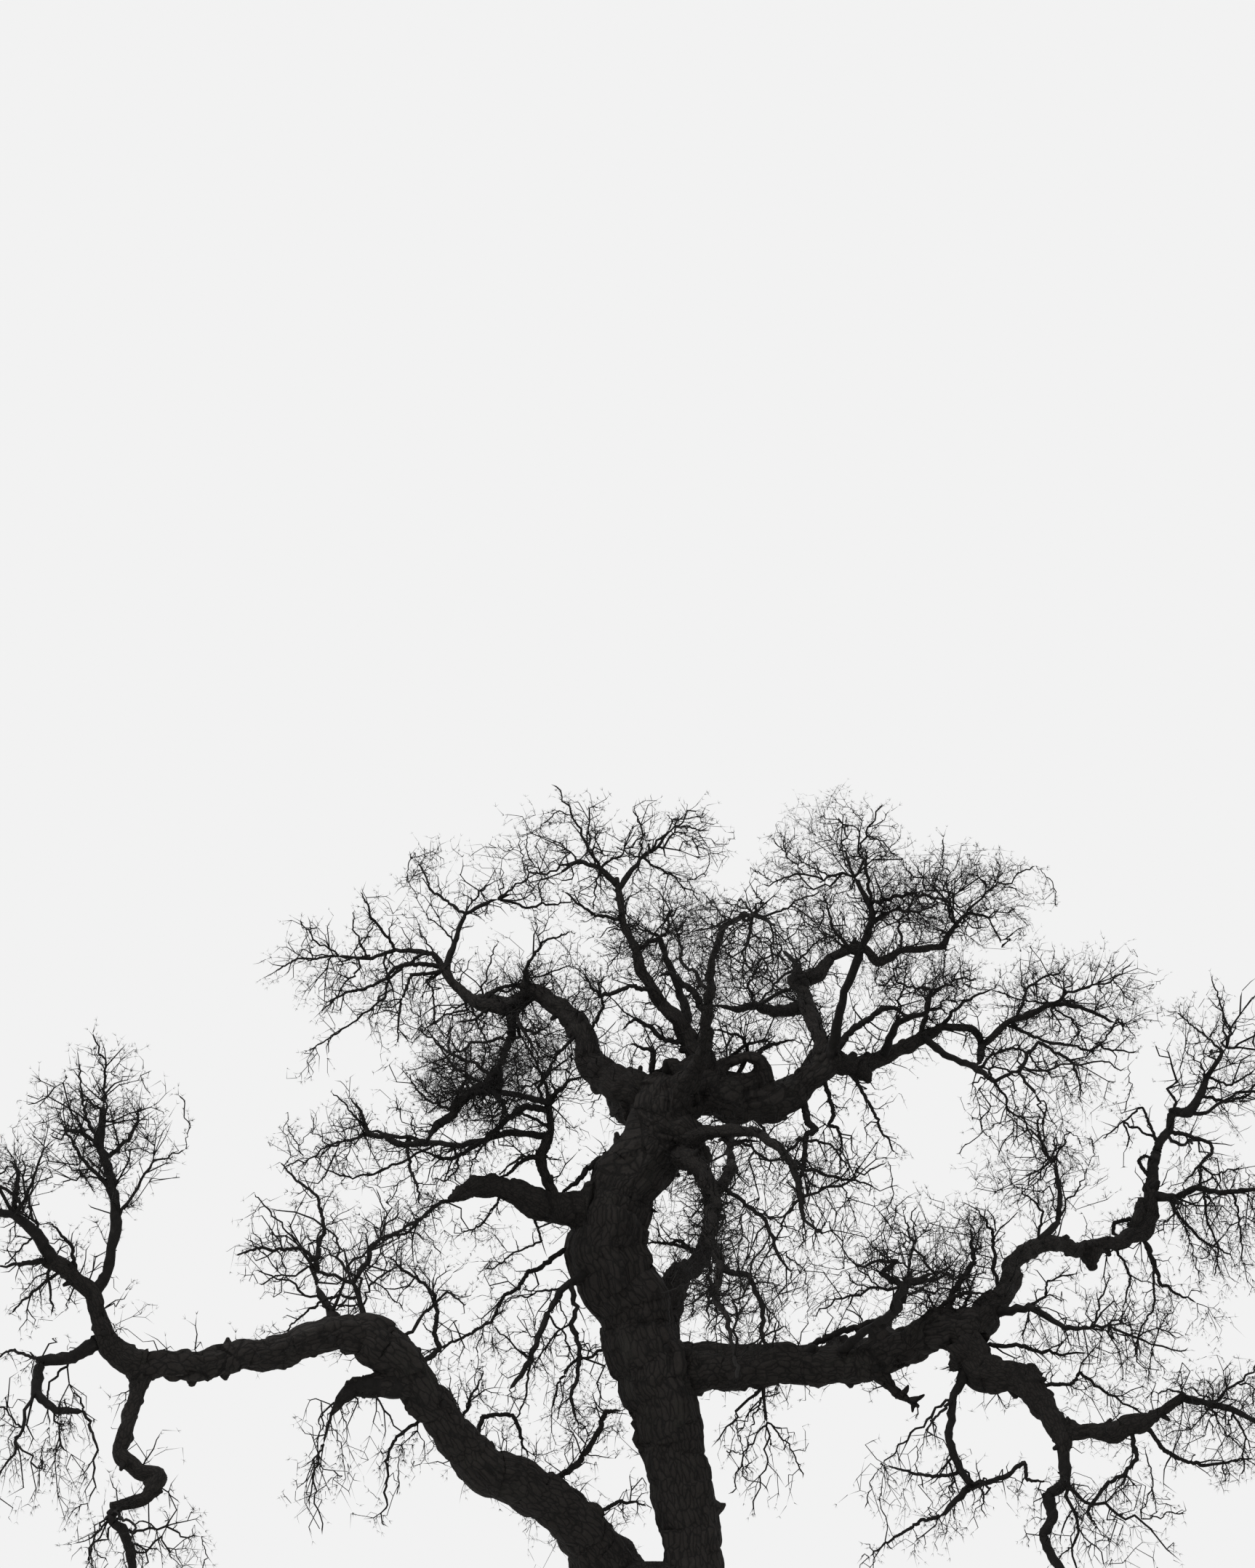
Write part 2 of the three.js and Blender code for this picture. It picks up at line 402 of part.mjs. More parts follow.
// A tapering limb along a line: a cylinder whose rings are carried to the line's points.
// grow makes it thicker and longer all round, to cut what must stay clear of it.
function limbGeometry({ points, radii }, sides, grow = 0) {
  const rings = points.length - 1;
  const geometry = new THREE.CylinderGeometry(1, 1, 1, sides, rings);
  const tangents = points.map((_, i) =>
    new THREE.Vector3().subVectors(points[Math.min(i + 1, rings)], points[Math.max(i - 1, 0)]).normalize(),
  );
  const normals = [new THREE.Vector3(0, 1, 0.1)];
  tangents.forEach((t, i) => {
    const carried = normals[Math.max(i - 1, 0)].clone();
    normals[i] = carried.addScaledVector(t, -carried.dot(t)).normalize();
  });
  const place = geometry.getAttribute("position");
  for (let k = 0; k < place.count; k++) {
    const ring = Math.round((place.getY(k) + 0.5) * rings);
    const binormal = new THREE.Vector3().crossVectors(normals[ring], tangents[ring]);
    const end = ring === 0 ? -grow : ring === rings ? grow : 0;
    const p = points[ring]
      .clone()
      .addScaledVector(tangents[ring], end)
      .addScaledVector(normals[ring], place.getX(k) * (radii[ring] + grow))
      .addScaledVector(binormal, place.getZ(k) * (radii[ring] + grow));
    place.setXYZ(k, p.x, p.y, p.z);
  }
  return geometry;
}

function solid(geometry) {
  geometry.deleteAttribute("normal");
  geometry.deleteAttribute("uv");
  const merged = mergeVertices(geometry, 1e-3);
  return new wasm.Manifold(
    new wasm.Mesh({
      numProp: 3,
      vertProperties: new Float32Array(merged.attributes.position.array),
      triVerts: new Uint32Array(merged.index.array),
    }),
  );
}

// The trunk: level sections, fluted into buttresses at the foot.
function trunkGeometry(grow = 0) {
  const rings = TRUNK_SECTIONS.length - 1;
  const geometry = new THREE.CylinderGeometry(1, 1, 1, TRUNK_SIDES, rings);
  const lean = sighted([TRUNK_TOP_ACROSS, 0, 0]).x;
  const place = geometry.getAttribute("position");
  for (let k = 0; k < place.count; k++) {
    const ring = Math.round((place.getY(k) + 0.5) * rings);
    const [height, wide, deep] = TRUNK_SECTIONS[ring];
    const [x, z] = [place.getX(k), place.getZ(k)];
    const fade = Math.max(0, 1 - height / FLUTE_FADES_AT) ** 2;
    const flute = 1 + FLUTE_DEPTH * fade * Math.cos(ROOT_FLUTES * Math.atan2(z, x) + FLUTE_TURN);
    const top = ring === rings ? grow : 0;
    place.setXYZ(
      k,
      x * (wide * flute * METRE + grow) + lean * (height / TRUNK_SECTIONS[rings][0]),
      -z * (deep * flute * METRE + grow),
      height * METRE + top,
    );
  }
  return geometry;
}

function largestPiece(shape) {
  return shape.decompose().reduce((a, b) => (a.volume() >= b.volume() ? a : b));
}

const boxesMeet = (a, b) =>
  [0, 1, 2].every((k) => a.min[k] < b.max[k] && b.min[k] < a.max[k]);

// Wood already standing: its solids with the seam's gap added, and its middle lines.
const standing = [];
const lines = [];

function cutClear(shape) {
  const box = shape.boundingBox();
  return standing.filter((s) => boxesMeet(s.box, box)).reduce((cut, s) => cut.subtract(s.grown), shape);
}

function stand(grown, owner = "limb") {
  standing.push({ grown, owner, box: grown.boundingBox() });
}

const pieces = {};

// Trunk and boughs, each cut clear of those before it.
pieces.trunk = solid(trunkGeometry());
stand(solid(trunkGeometry(SEAM)));
lines.push({
  points: TRUNK_SECTIONS.map(([height]) => new THREE.Vector3(0, 0, height * METRE)),
  radii: TRUNK_SECTIONS.map(([, wide]) => wide * METRE),
});
for (const [name, route] of Object.entries(BOUGHS)) {
  const middle = line(route, RINGS_PER_REACH);
  const shoots = name in FUSED ? [line(FUSED[name], RINGS_PER_REACH)] : [];
  const whole = shoots.reduce(
    (sum, shoot) => sum.add(solid(limbGeometry(shoot, LIMB_SIDES))),
    solid(limbGeometry(middle, LIMB_SIDES)),
  );
  pieces[name] = largestPiece(cutClear(whole));
  for (const part of [middle, ...shoots]) {
    stand(solid(limbGeometry(part, LIMB_SIDES, SEAM)));
    lines.push(part);
  }
}

// Clearance between a point and the bark of the nearest limb.
function barkDistance(p) {
  let least = Infinity;
  for (const { points, radii } of lines)
    for (let i = 0; i + 1 < points.length; i++) {
      const reach = new THREE.Vector3().subVectors(points[i + 1], points[i]);
      const t = THREE.MathUtils.clamp(p.clone().sub(points[i]).dot(reach) / reach.lengthSq(), 0, 1);
      const radius = THREE.MathUtils.lerp(radii[i], radii[i + 1], t);
      least = Math.min(least, p.distanceTo(points[i].clone().addScaledVector(reach, t)) - radius);
    }
  return least;
}

// Place number i of an even spread through the outer skin of a mass's space.
function target(mass, i) {
  const share = [1, 2, 3].map((k) => (0.5 + (i + 1) / PLASTIC ** k + chance(mass.seed, k)) % 1);
  const radius = THREE.MathUtils.lerp(OUTER_SKIN, 1, share[0]);
  const turn = 2 * Math.PI * share[1];
  const rise = 2 * share[2] - 1;
  const flat = Math.sqrt(1 - rise * rise);
  return new THREE.Vector3(
    mass.middle.x + mass.half.x * radius * flat * Math.cos(turn),
    mass.middle.y + mass.half.y * radius * flat * Math.sin(turn),
    mass.middle.z + mass.half.z * radius * rise,
  );
}

const within = (mass, p) => p.clone().sub(mass.middle).divide(mass.half).length() < SPACE_SKIN;

// The rule: each place in turn is reached by a crooked twig from the wood that is nearest and fairly
// near the limb, bent forward from that wood. Weeping twigs prefer wood that is straight above.
function growTwigs(mass) {
  const stem = line(mass.stem, 1);
  const wood = stem.points.map((p, i) => ({
    p,
    r: stem.radii[i],
    way: new THREE.Vector3()
      .subVectors(stem.points[Math.min(i + 1, stem.points.length - 1)], stem.points[Math.max(i - 1, 0)])
      .normalize(),
    back: i * TWIG_STEP * METRE,
    usable: i > 0,
  }));
  const twigs = [];
  const sideways = 1 + mass.hangs;
  for (let i = 0; i < TWIGS_PER_MASS; i++) {
    const goal = target(mass, i);
    let best = null;
    let least = Infinity;
    for (const w of wood.filter((w) => w.usable)) {
      const gap = new THREE.Vector3().subVectors(goal, w.p);
      const long = Math.hypot(gap.x * sideways, gap.y * sideways, gap.z);
      const turn = 1 - gap.dot(w.way) / gap.length();
      const cost = long * (1 + TURN_COST * turn) + DETOUR_COST * w.back;
      if (cost < least) [least, best] = [cost, w];
    }
    const gap = new THREE.Vector3().subVectors(goal, best.p);
    const length = gap.length();
    const bends = length > TWIG_LONG * METRE ? 3 : 2;
    const foot = Math.min(
      best.r * TWIG_SHARE,
      (TWIG_TIP + (TWIG_THICKENS * length) / METRE) * METRE,
    );
    const points = [best.p.clone()];
    const radii = [foot];
    for (let k = 1; k <= bends; k++) {
      const s = k / bends;
      const p = best.p
        .clone()
        .addScaledVector(gap, s)
        .addScaledVector(best.way, length * BOW * s * (1 - s))
        .add(new THREE.Vector3(0, 0, mass.hangs * length * ARCH * s * (1 - s)));
      if (k < bends) {
        const reach = 2 * CROOK * (length / bends);
        const throwOf = (axis) => (chance(mass.seed, 16 * (i + 1) + 4 * k + axis) - 0.5) * reach;
        p.add(new THREE.Vector3(throwOf(0), throwOf(1), throwOf(2)));
      }
      points.push(p);
      radii.push(THREE.MathUtils.lerp(foot, TWIG_TIP * METRE, s));
    }
    const probes = points.slice(1).flatMap((p, k) => [p, p.clone().add(points[k]).multiplyScalar(0.5)]);
    const touches = probes.some((p) => barkDistance(p) < foot + TWIG_CLEARANCE);
    const leaves = within(mass, best.p) && !points.every((p) => within(mass, p));
    if (touches || leaves) continue;
    for (let k = 1; k <= bends; k++)
      wood.push({
        p: points[k],
        r: radii[k],
        way: new THREE.Vector3().subVectors(points[k], points[k - 1]).normalize(),
        back: best.back + (k / bends) * length,
        usable: true,
      });
    twigs.push({ points, radii });
  }
  return twigs;
}

Object.values(MASSES).forEach((mass, number) => {
  const scale = sightedScale(mass.at[2]);
  mass.seed = number + 1;
  mass.middle = sighted(mass.at);
  const [wide, deep, high] = mass.size;
  mass.half = new THREE.Vector3(wide * scale, deep, high * scale).multiplyScalar(METRE);
});

// Stems first, each cut clear of what stands; then the twigs, which keep clear of every other piece.
for (const [name, mass] of Object.entries(MASSES)) {
  const stem = line(mass.stem, 1);
  pieces[name] = largestPiece(cutClear(solid(limbGeometry(stem, STEM_SIDES))));
  stand(solid(limbGeometry(stem, STEM_SIDES, SEAM)), name);
}
for (const [name, mass] of Object.entries(MASSES)) {
  for (const twig of growTwigs(mass)) {
    const fat = solid(limbGeometry(twig, TWIG_SIDES, TWIG_GAP));
    const box = fat.boundingBox();
    const near = standing.filter((s) => s.owner !== name && boxesMeet(s.box, box));
    if (near.some((s) => s.grown.intersect(fat).volume() > 0)) continue;
    const joined = pieces[name].add(solid(limbGeometry(twig, TWIG_SIDES)));
    if (joined.decompose().length === 1) pieces[name] = joined;
  }
  stand(pieces[name], name);
}

const BARK = { color: 0x35322f, roughness: 0.95, metalness: 0 };
const TWIG_BARK = { color: 0x2f2d2b, roughness: 0.9, metalness: 0 };

const tree = new THREE.Group();
for (const [name, shape] of Object.entries(pieces)) {
  const { vertProperties, triVerts } = shape.getMesh();
  const geometry = new THREE.BufferGeometry();
  geometry.setAttribute("position", new THREE.BufferAttribute(vertProperties, 3));
  geometry.setIndex(new THREE.BufferAttribute(triVerts, 1));
  geometry.computeVertexNormals();
  const material = new THREE.MeshStandardMaterial(name in MASSES ? TWIG_BARK : BARK);
  const mesh = new THREE.Mesh(geometry, material);
  mesh.name = name;
  tree.add(mesh);
}

export default tree;
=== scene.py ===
# A bare, wide-spreading winter oak: bark for the trunk and boughs, and crowns of fine twigs that grow on
# from them by one seeded rule. Metres, +Z up, with the ground at zero.
import itertools
import math

import bmesh
import bpy
import numpy as np
from mathutils import Matrix, Vector
from mathutils.kdtree import KDTree


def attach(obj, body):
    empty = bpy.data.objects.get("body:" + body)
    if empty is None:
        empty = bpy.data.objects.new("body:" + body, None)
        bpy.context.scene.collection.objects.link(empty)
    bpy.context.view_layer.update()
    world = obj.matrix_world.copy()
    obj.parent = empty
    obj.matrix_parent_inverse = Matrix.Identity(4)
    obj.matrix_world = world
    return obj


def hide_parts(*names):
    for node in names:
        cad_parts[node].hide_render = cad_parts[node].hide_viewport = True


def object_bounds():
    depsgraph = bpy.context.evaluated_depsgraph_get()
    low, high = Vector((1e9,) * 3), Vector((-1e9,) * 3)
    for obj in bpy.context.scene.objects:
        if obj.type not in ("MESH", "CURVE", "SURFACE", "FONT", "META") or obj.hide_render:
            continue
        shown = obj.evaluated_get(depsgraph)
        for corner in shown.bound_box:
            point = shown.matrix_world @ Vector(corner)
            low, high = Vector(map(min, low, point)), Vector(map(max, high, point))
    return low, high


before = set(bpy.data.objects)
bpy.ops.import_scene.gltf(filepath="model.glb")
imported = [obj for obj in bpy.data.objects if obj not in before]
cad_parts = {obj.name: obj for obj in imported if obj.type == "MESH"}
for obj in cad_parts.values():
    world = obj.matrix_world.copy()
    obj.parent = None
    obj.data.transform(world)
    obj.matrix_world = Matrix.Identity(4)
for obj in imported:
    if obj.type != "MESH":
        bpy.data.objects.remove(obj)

cad_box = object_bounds()

# The tree was sighted from one standing point. A place on it is given in metres, as
# [across, up, behind]: across and up are read on a plane square to the line of sight, from the
# crotch of the lowest fork, and behind is how far north of the trunk (+Y) the place lies.
STANDING_DISTANCE = 40
EYE_HEIGHT = 1.6
EYE_WEST_OF_TRUNK = 0.42
SIGHT_PITCH = math.radians(16.2)
SIGHT_AXIS_ABOVE_CROTCH = 10.78

# Camera: the picture is 1726 by 2156 pixels, and a metre at the trunk is 100 of them.
PICTURE_HEIGHT = 2156
PIXELS_PER_METRE = 100
SENSOR = 36  # millimetres

# Trunk: [height, half width east-west, half width north-south] of its sections.
TRUNK_SECTIONS = [
    [0, 1.12, 1.06],
    [0.16, 0.99, 0.93],
    [0.42, 0.86, 0.8],
    [0.85, 0.78, 0.72],
    [1.35, 0.77, 0.69],
    [1.8, 0.82, 0.68],
    [2.12, 0.88, 0.65],
    [2.34, 0.86, 0.58],
    [2.46, 0.66, 0.4],
]
ROOT_FLUTES = 5  # buttresses round the foot
FLUTE_DEPTH = 0.13  # share of the radius, at ground level
FLUTE_TURN = 0.6  # where the first buttress stands, in radians
FLUTE_FADES_AT = 1.5  # metres above the ground
TRUNK_TOP_ACROSS = -0.08  # the trunk leans until its top is here

# Boughs: [across, up, behind, thickness]. Each starts inside the limb that bears it.
BOUGHS = {
    "leader": [
        [0.3, -0.5, 0, 0.92], [0.46, 0.05, 0, 0.8], [0.25, 1.56, 0, 0.84], [0, 2.51, 0, 1.02],
        [-0.27, 3.36, 0, 1.04], [-0.75, 4.3, 0, 1.12], [-0.55, 5.16, 0, 1.0], [-0.04, 5.66, 0, 0.94],
        [0.03, 6.16, 0, 0.84], [0.12, 6.6, 0, 0.76],
    ],
    "west_bough": [
        [-0.42, -0.5, 0, 0.8], [-0.67, 0.02, -0.15, 0.76], [-1.15, 0.71, -0.6, 0.67],
        [-1.85, 1.11, -1.1, 0.68], [-2.5, 1.44, -1.5, 0.64], [-2.98, 2.06, -1.9, 0.52],
        [-3.45, 2.71, -2.2, 0.62], [-3.7, 2.98, -2.32, 0.64],
    ],
    "west_bough_outer": [
        [-3.45, 2.72, -2.2, 0.5], [-3.92, 3.12, -2.45, 0.58], [-4.4, 3.22, -2.65, 0.47],
        [-4.75, 3.15, -2.85, 0.52], [-5.09, 2.97, -3.0, 0.48], [-5.55, 2.93, -3.2, 0.4],
        [-6.05, 2.88, -3.45, 0.41], [-6.43, 2.81, -3.6, 0.46], [-6.8, 2.88, -3.8, 0.38],
        [-7.22, 2.72, -4.0, 0.36],
    ],
    "west_rise": [
        [-7.1, 2.7, -3.95, 0.3], [-7.36, 2.88, -4.05, 0.34], [-7.56, 3.12, -4.1, 0.32],
        [-7.75, 3.46, -4.2, 0.25], [-7.8, 3.74, -4.3, 0.26], [-8.1, 4.06, -4.5, 0.25],
        [-8.36, 4.23, -4.7, 0.28],
    ],
    "west_drop": [
        [-7.16, 2.72, -3.98, 0.22], [-7.18, 2.41, -4.05, 0.22], [-7.27, 2.06, -4.15, 0.22],
        [-7.4, 1.66, -4.25, 0.26], [-7.2, 1.36, -4.35, 0.22], [-6.88, 1.24, -4.4, 0.27],
        [-7.08, 0.94, -4.5, 0.17], [-7.5, 0.84, -4.6, 0.16],
    ],
    "broken_bough": [
        [-0.85, 4.94, -0.1, 0.5], [-1.45, 4.94, -0.35, 0.42], [-1.77, 4.98, -0.5, 0.42],
        [-2.05, 5.14, -0.65, 0.33], [-2.45, 5.2, -0.85, 0.3], [-2.71, 5.15, -0.95, 0.22],
        [-2.86, 5.06, -1.0, 0.1],
    ],
    "nw_limb": [
        [-0.1, 6.4, 0.1, 0.55], [-0.52, 6.54, 0.3, 0.5], [-0.88, 6.9, 0.5, 0.4], [-0.97, 7.2, 0.6, 0.32],
        [-1.05, 7.5, 0.7, 0.34], [-1.4, 7.72, 0.85, 0.27], [-1.7, 7.92, 1.0, 0.27],
        [-1.95, 7.82, 1.15, 0.23], [-2.2, 7.74, 1.3, 0.24], [-2.55, 7.84, 1.45, 0.17],
        [-2.82, 8.05, 1.6, 0.14], [-2.95, 8.26, 1.7, 0.15],
    ],
    "top_leader": [
        [0.25, 6.6, 0, 0.6], [0.58, 7.0, 0.05, 0.4], [0.4, 7.36, 0.1, 0.28], [0.05, 7.8, 0.15, 0.18],
        [-0.2, 8.15, 0.2, 0.2], [-0.3, 8.5, 0.2, 0.13], [-0.48, 8.85, 0.25, 0.11],
        [-0.57, 9.48, 0.3, 0.1],
    ],
    "ne_bough": [
        [0.1, 6.5, 0, 0.78], [0.55, 6.56, 0.1, 0.68], [1.05, 6.48, 0.2, 0.6], [1.55, 6.42, 0.3, 0.5],
        [1.95, 6.53, 0.4, 0.41], [2.22, 6.82, 0.4, 0.41], [2.4, 7.05, 0.4, 0.38],
    ],
    "ne_outer": [
        [2.3, 6.95, 0.4, 0.28], [2.65, 6.94, 0.6, 0.24], [2.97, 6.97, 0.8, 0.26], [3.3, 7.16, 1, 0.2],
        [3.6, 7.28, 1.1, 0.2], [3.88, 7.42, 1.2, 0.14], [4.28, 7.43, 1.3, 0.12], [4.47, 7.2, 1.4, 0.1],
        [4.8, 7.48, 1.5, 0.1], [5.15, 7.62, 1.6, 0.1],
    ],
    "ne_contorted": [
        [2.36, 6.98, 0.4, 0.24], [2.25, 7.3, 0.7, 0.2], [2.13, 7.6, 1.0, 0.2], [1.98, 7.88, 1.3, 0.2],
        [1.88, 8.12, 1.5, 0.22], [2.2, 8.17, 1.6, 0.2], [2.4, 8.4, 1.7, 0.14], [2.75, 8.53, 1.8, 0.15],
        [3.05, 8.32, 1.9, 0.13], [3.35, 8.5, 2.0, 0.11], [3.95, 8.55, 2.2, 0.09],
    ],
    "shoulder_limb": [
        [0.2, 5.85, -0.1, 0.34], [0.72, 5.98, -0.5, 0.2], [1.15, 6.0, -1.0, 0.16],
        [1.45, 5.94, -1.4, 0.14], [1.65, 5.76, -1.8, 0.12], [1.9, 5.5, -2.3, 0.12],
    ],
    "south_bough": [
        [0.2, 5.7, -0.15, 0.34], [0.6, 5.42, -0.8, 0.22], [0.78, 4.95, -1.5, 0.18],
        [0.7, 4.6, -2.3, 0.15], [0.84, 4.2, -3, 0.13], [0.76, 3.75, -3.9, 0.11], [0.98, 3.4, -4.6, 0.09],
    ],
    "south_top": [
        [0.2, 6.45, -0.1, 0.4], [0.55, 6.95, -0.7, 0.24], [0.66, 7.35, -1.3, 0.18],
        [0.7, 7.8, -1.9, 0.15], [0.73, 8.35, -2.7, 0.12], [0.86, 8.8, -3.4, 0.1], [1.2, 9, -4, 0.09],
    ],
    "north_bough": [
        [0.02, 2.7, 0.2, 0.5], [0.02, 3.3, 0.62, 0.46], [0.1, 3.82, 0.85, 0.42], [0.3, 4.08, 1.1, 0.3],
        [0.6, 4.3, 1.7, 0.24], [0.75, 4.95, 2.3, 0.22], [0.7, 5, 3.1, 0.18], [1.05, 5.5, 3.8, 0.16],
        [1, 5.6, 4.4, 0.13],
    ],
    "north_west_bough": [
        [-0.3, 6.35, 0.2, 0.42], [-0.64, 6.6, 1, 0.34], [-0.92, 7, 1.7, 0.28], [-1.02, 7.4, 2.6, 0.25],
        [-1.35, 7.68, 3.3, 0.21], [-1.68, 7.9, 4.1, 0.18], [-2.05, 7.78, 4.7, 0.14],
    ],
    "north_east_bough": [
        [0.3, 6.55, 0.2, 0.42], [0.9, 6.55, 1, 0.34], [1.5, 6.48, 1.8, 0.28], [2.02, 6.75, 2.6, 0.24],
        [2.22, 7.3, 3.3, 0.2], [2.12, 7.7, 4.1, 0.17], [1.95, 8, 4.9, 0.13],
    ],
    "east_bough": [
        [0, 2.75, 0, 0.64], [0.55, 2.76, 0, 0.62], [1.45, 2.77, -0.2, 0.56], [2.15, 2.74, -0.4, 0.56],
        [2.75, 2.78, -0.6, 0.5], [3.15, 3.0, -0.8, 0.54], [3.55, 3.17, -1.0, 0.48],
        [3.95, 3.27, -1.2, 0.52], [4.35, 3.24, -1.4, 0.54],
    ],
    "east_upper": [
        [4.3, 3.2, -1.4, 0.4], [4.6, 3.52, -1.2, 0.4], [4.77, 3.91, -0.9, 0.3], [4.88, 4.2, -0.6, 0.26],
        [5.16, 4.43, -0.2, 0.25], [5.55, 4.46, 0.3, 0.21], [5.87, 4.4, 0.7, 0.21],
        [6.25, 4.46, 1.1, 0.19], [6.58, 4.56, 1.5, 0.23], [6.74, 4.86, 1.7, 0.23], [6.78, 5.2, 1.8, 0.21],
        [6.8, 5.36, 1.84, 0.17],
    ],
    "east_lower": [
        [4.2, 3.1, -1.4, 0.46], [4.48, 2.78, -1.6, 0.5], [4.86, 2.64, -1.8, 0.42],
        [5.16, 2.5, -2.0, 0.43], [5.36, 2.2, -2.1, 0.34], [5.55, 1.9, -2.2, 0.32],
        [5.57, 1.56, -2.3, 0.18],
    ],
    "east_far": [
        [5.48, 1.88, -2.2, 0.24], [5.95, 1.85, -2.3, 0.2], [6.25, 1.8, -2.4, 0.26],
        [6.52, 1.9, -2.5, 0.34], [6.76, 2.02, -2.6, 0.2], [7.0, 2.2, -2.7, 0.15],
        [7.23, 2.38, -2.8, 0.13],
    ],
    "north_west_low": [
        [-0.4, -0.3, 0.2, 0.6], [-0.85, 0.45, 0.8, 0.5], [-1.45, 0.95, 1.7, 0.42], [-2.1, 1.3, 2.6, 0.36],
        [-2.9, 1.95, 3.2, 0.3], [-3.5, 2.8, 3.9, 0.25], [-4.2, 3.15, 4.1, 0.2],
    ],
    "north_east_low": [
        [0.1, 2.55, 0.15, 0.44], [0.75, 2.72, 0.9, 0.36], [1.5, 2.75, 1.9, 0.3], [2.1, 2.72, 2.7, 0.26],
        [2.45, 3.05, 3.5, 0.22], [3.1, 3.05, 4.1, 0.18], [3.2, 3.5, 4.9, 0.14],
    ],
}

# Wood fused to the bough it springs from: the thick east shoulder of the leader, a dead broken spur, and
# the tall riser on the broken bough
FUSED = {
    "leader": [[0, 6.2, 0, 0.8], [0.3, 5.88, -0.05, 0.66], [0.66, 5.62, -0.1, 0.26]],
    "east_bough": [
        [2.9, 2.75, -0.7, 0.3], [3.2, 2.44, -0.85, 0.15], [3.4, 2.35, -0.9, 0.11],
        [3.58, 2.22, -0.95, 0.06],
    ],
    "broken_bough": [
        [-1.43, 4.95, -0.35, 0.22], [-1.53, 5.42, -0.38, 0.16], [-1.61, 5.64, -0.4, 0.19],
        [-1.56, 5.8, -0.42, 0.17], [-1.5, 5.97, -0.44, 0.13], [-1.5, 6.5, -0.5, 0.1],
    ],
}

# Broken stubs, burls and knees of the boughs, too small for the solids
SNAGS = {
    "west_bough": [
        [[-3.6, 2.52, -2.3, 0.3], [-3.95, 2.5, -2.4, 0.28], [-4.2, 2.5, -2.48, 0.24],
            [-4.27, 2.5, -2.5, 0.18]],
    ],
    "leader": [
        [[-0.42, 5.6, -0.05, 0.26], [-0.55, 5.82, -0.08, 0.14], [-0.57, 5.98, -0.1, 0.08]],
    ],
    "ne_bough": [
        [[0.8, 6.72, 0.1, 0.24], [0.96, 6.96, -0.05, 0.16], [1.22, 7.04, -0.1, 0.13],
            [1.4, 6.96, -0.05, 0.22], [1.48, 6.72, 0.05, 0.28]],
        [[0.95, 6.66, 0.1, 0.34], [1.2, 6.7, 0.05, 0.26], [1.42, 6.78, 0.05, 0.26], [1.5, 6.6, 0.15, 0.3]],
    ],
    "ne_outer": [
        [[2.75, 6.9, 0.62, 0.26], [2.85, 6.78, 0.65, 0.2], [2.9, 6.69, 0.65, 0.1]],
    ],
    "nw_limb": [
        [[-1.78, 7.92, 1.05, 0.2], [-1.8, 8.1, 1.05, 0.13], [-1.81, 8.23, 1.05, 0.07]],
    ],
    "west_bough_outer": [
        [[-6.4, 2.72, -3.6, 0.22], [-6.41, 2.6, -3.6, 0.17], [-6.41, 2.52, -3.6, 0.1]],
        [[-5.95, 2.8, -3.42, 0.2], [-5.95, 2.68, -3.42, 0.15], [-5.95, 2.6, -3.42, 0.08]],
        [[-5.9, 2.95, -3.4, 0.2], [-5.91, 3.08, -3.4, 0.14], [-5.92, 3.15, -3.4, 0.08]],
    ],
    "east_bough": [
        [[3.6, 3.3, -1.05, 0.36], [3.95, 3.45, -1.15, 0.34], [4.3, 3.48, -1.3, 0.3],
            [4.5, 3.4, -1.35, 0.2]],
        [[3.34, 2.38, -0.9, 0.1], [3.42, 2.46, -0.9, 0.07], [3.44, 2.51, -0.9, 0.04]],
        [[3.48, 2.29, -0.94, 0.09], [3.6, 2.34, -0.95, 0.07], [3.66, 2.38, -0.95, 0.04]],
        [[3.52, 2.26, -0.94, 0.08], [3.5, 2.15, -0.94, 0.05]],
    ],
    "east_upper": [
        [[5.95, 4.4, 0.75, 0.3], [5.95, 4.24, 0.75, 0.24], [5.98, 4.12, 0.75, 0.14]],
        [[6.6, 4.6, 1.5, 0.2], [6.66, 4.85, 1.66, 0.21], [6.67, 5.05, 1.74, 0.14]],
    ],
    "east_lower": [
        [[5.1, 2.55, -1.95, 0.3], [5.12, 2.7, -1.95, 0.26], [5.13, 2.77, -1.95, 0.16]],
    ],
}

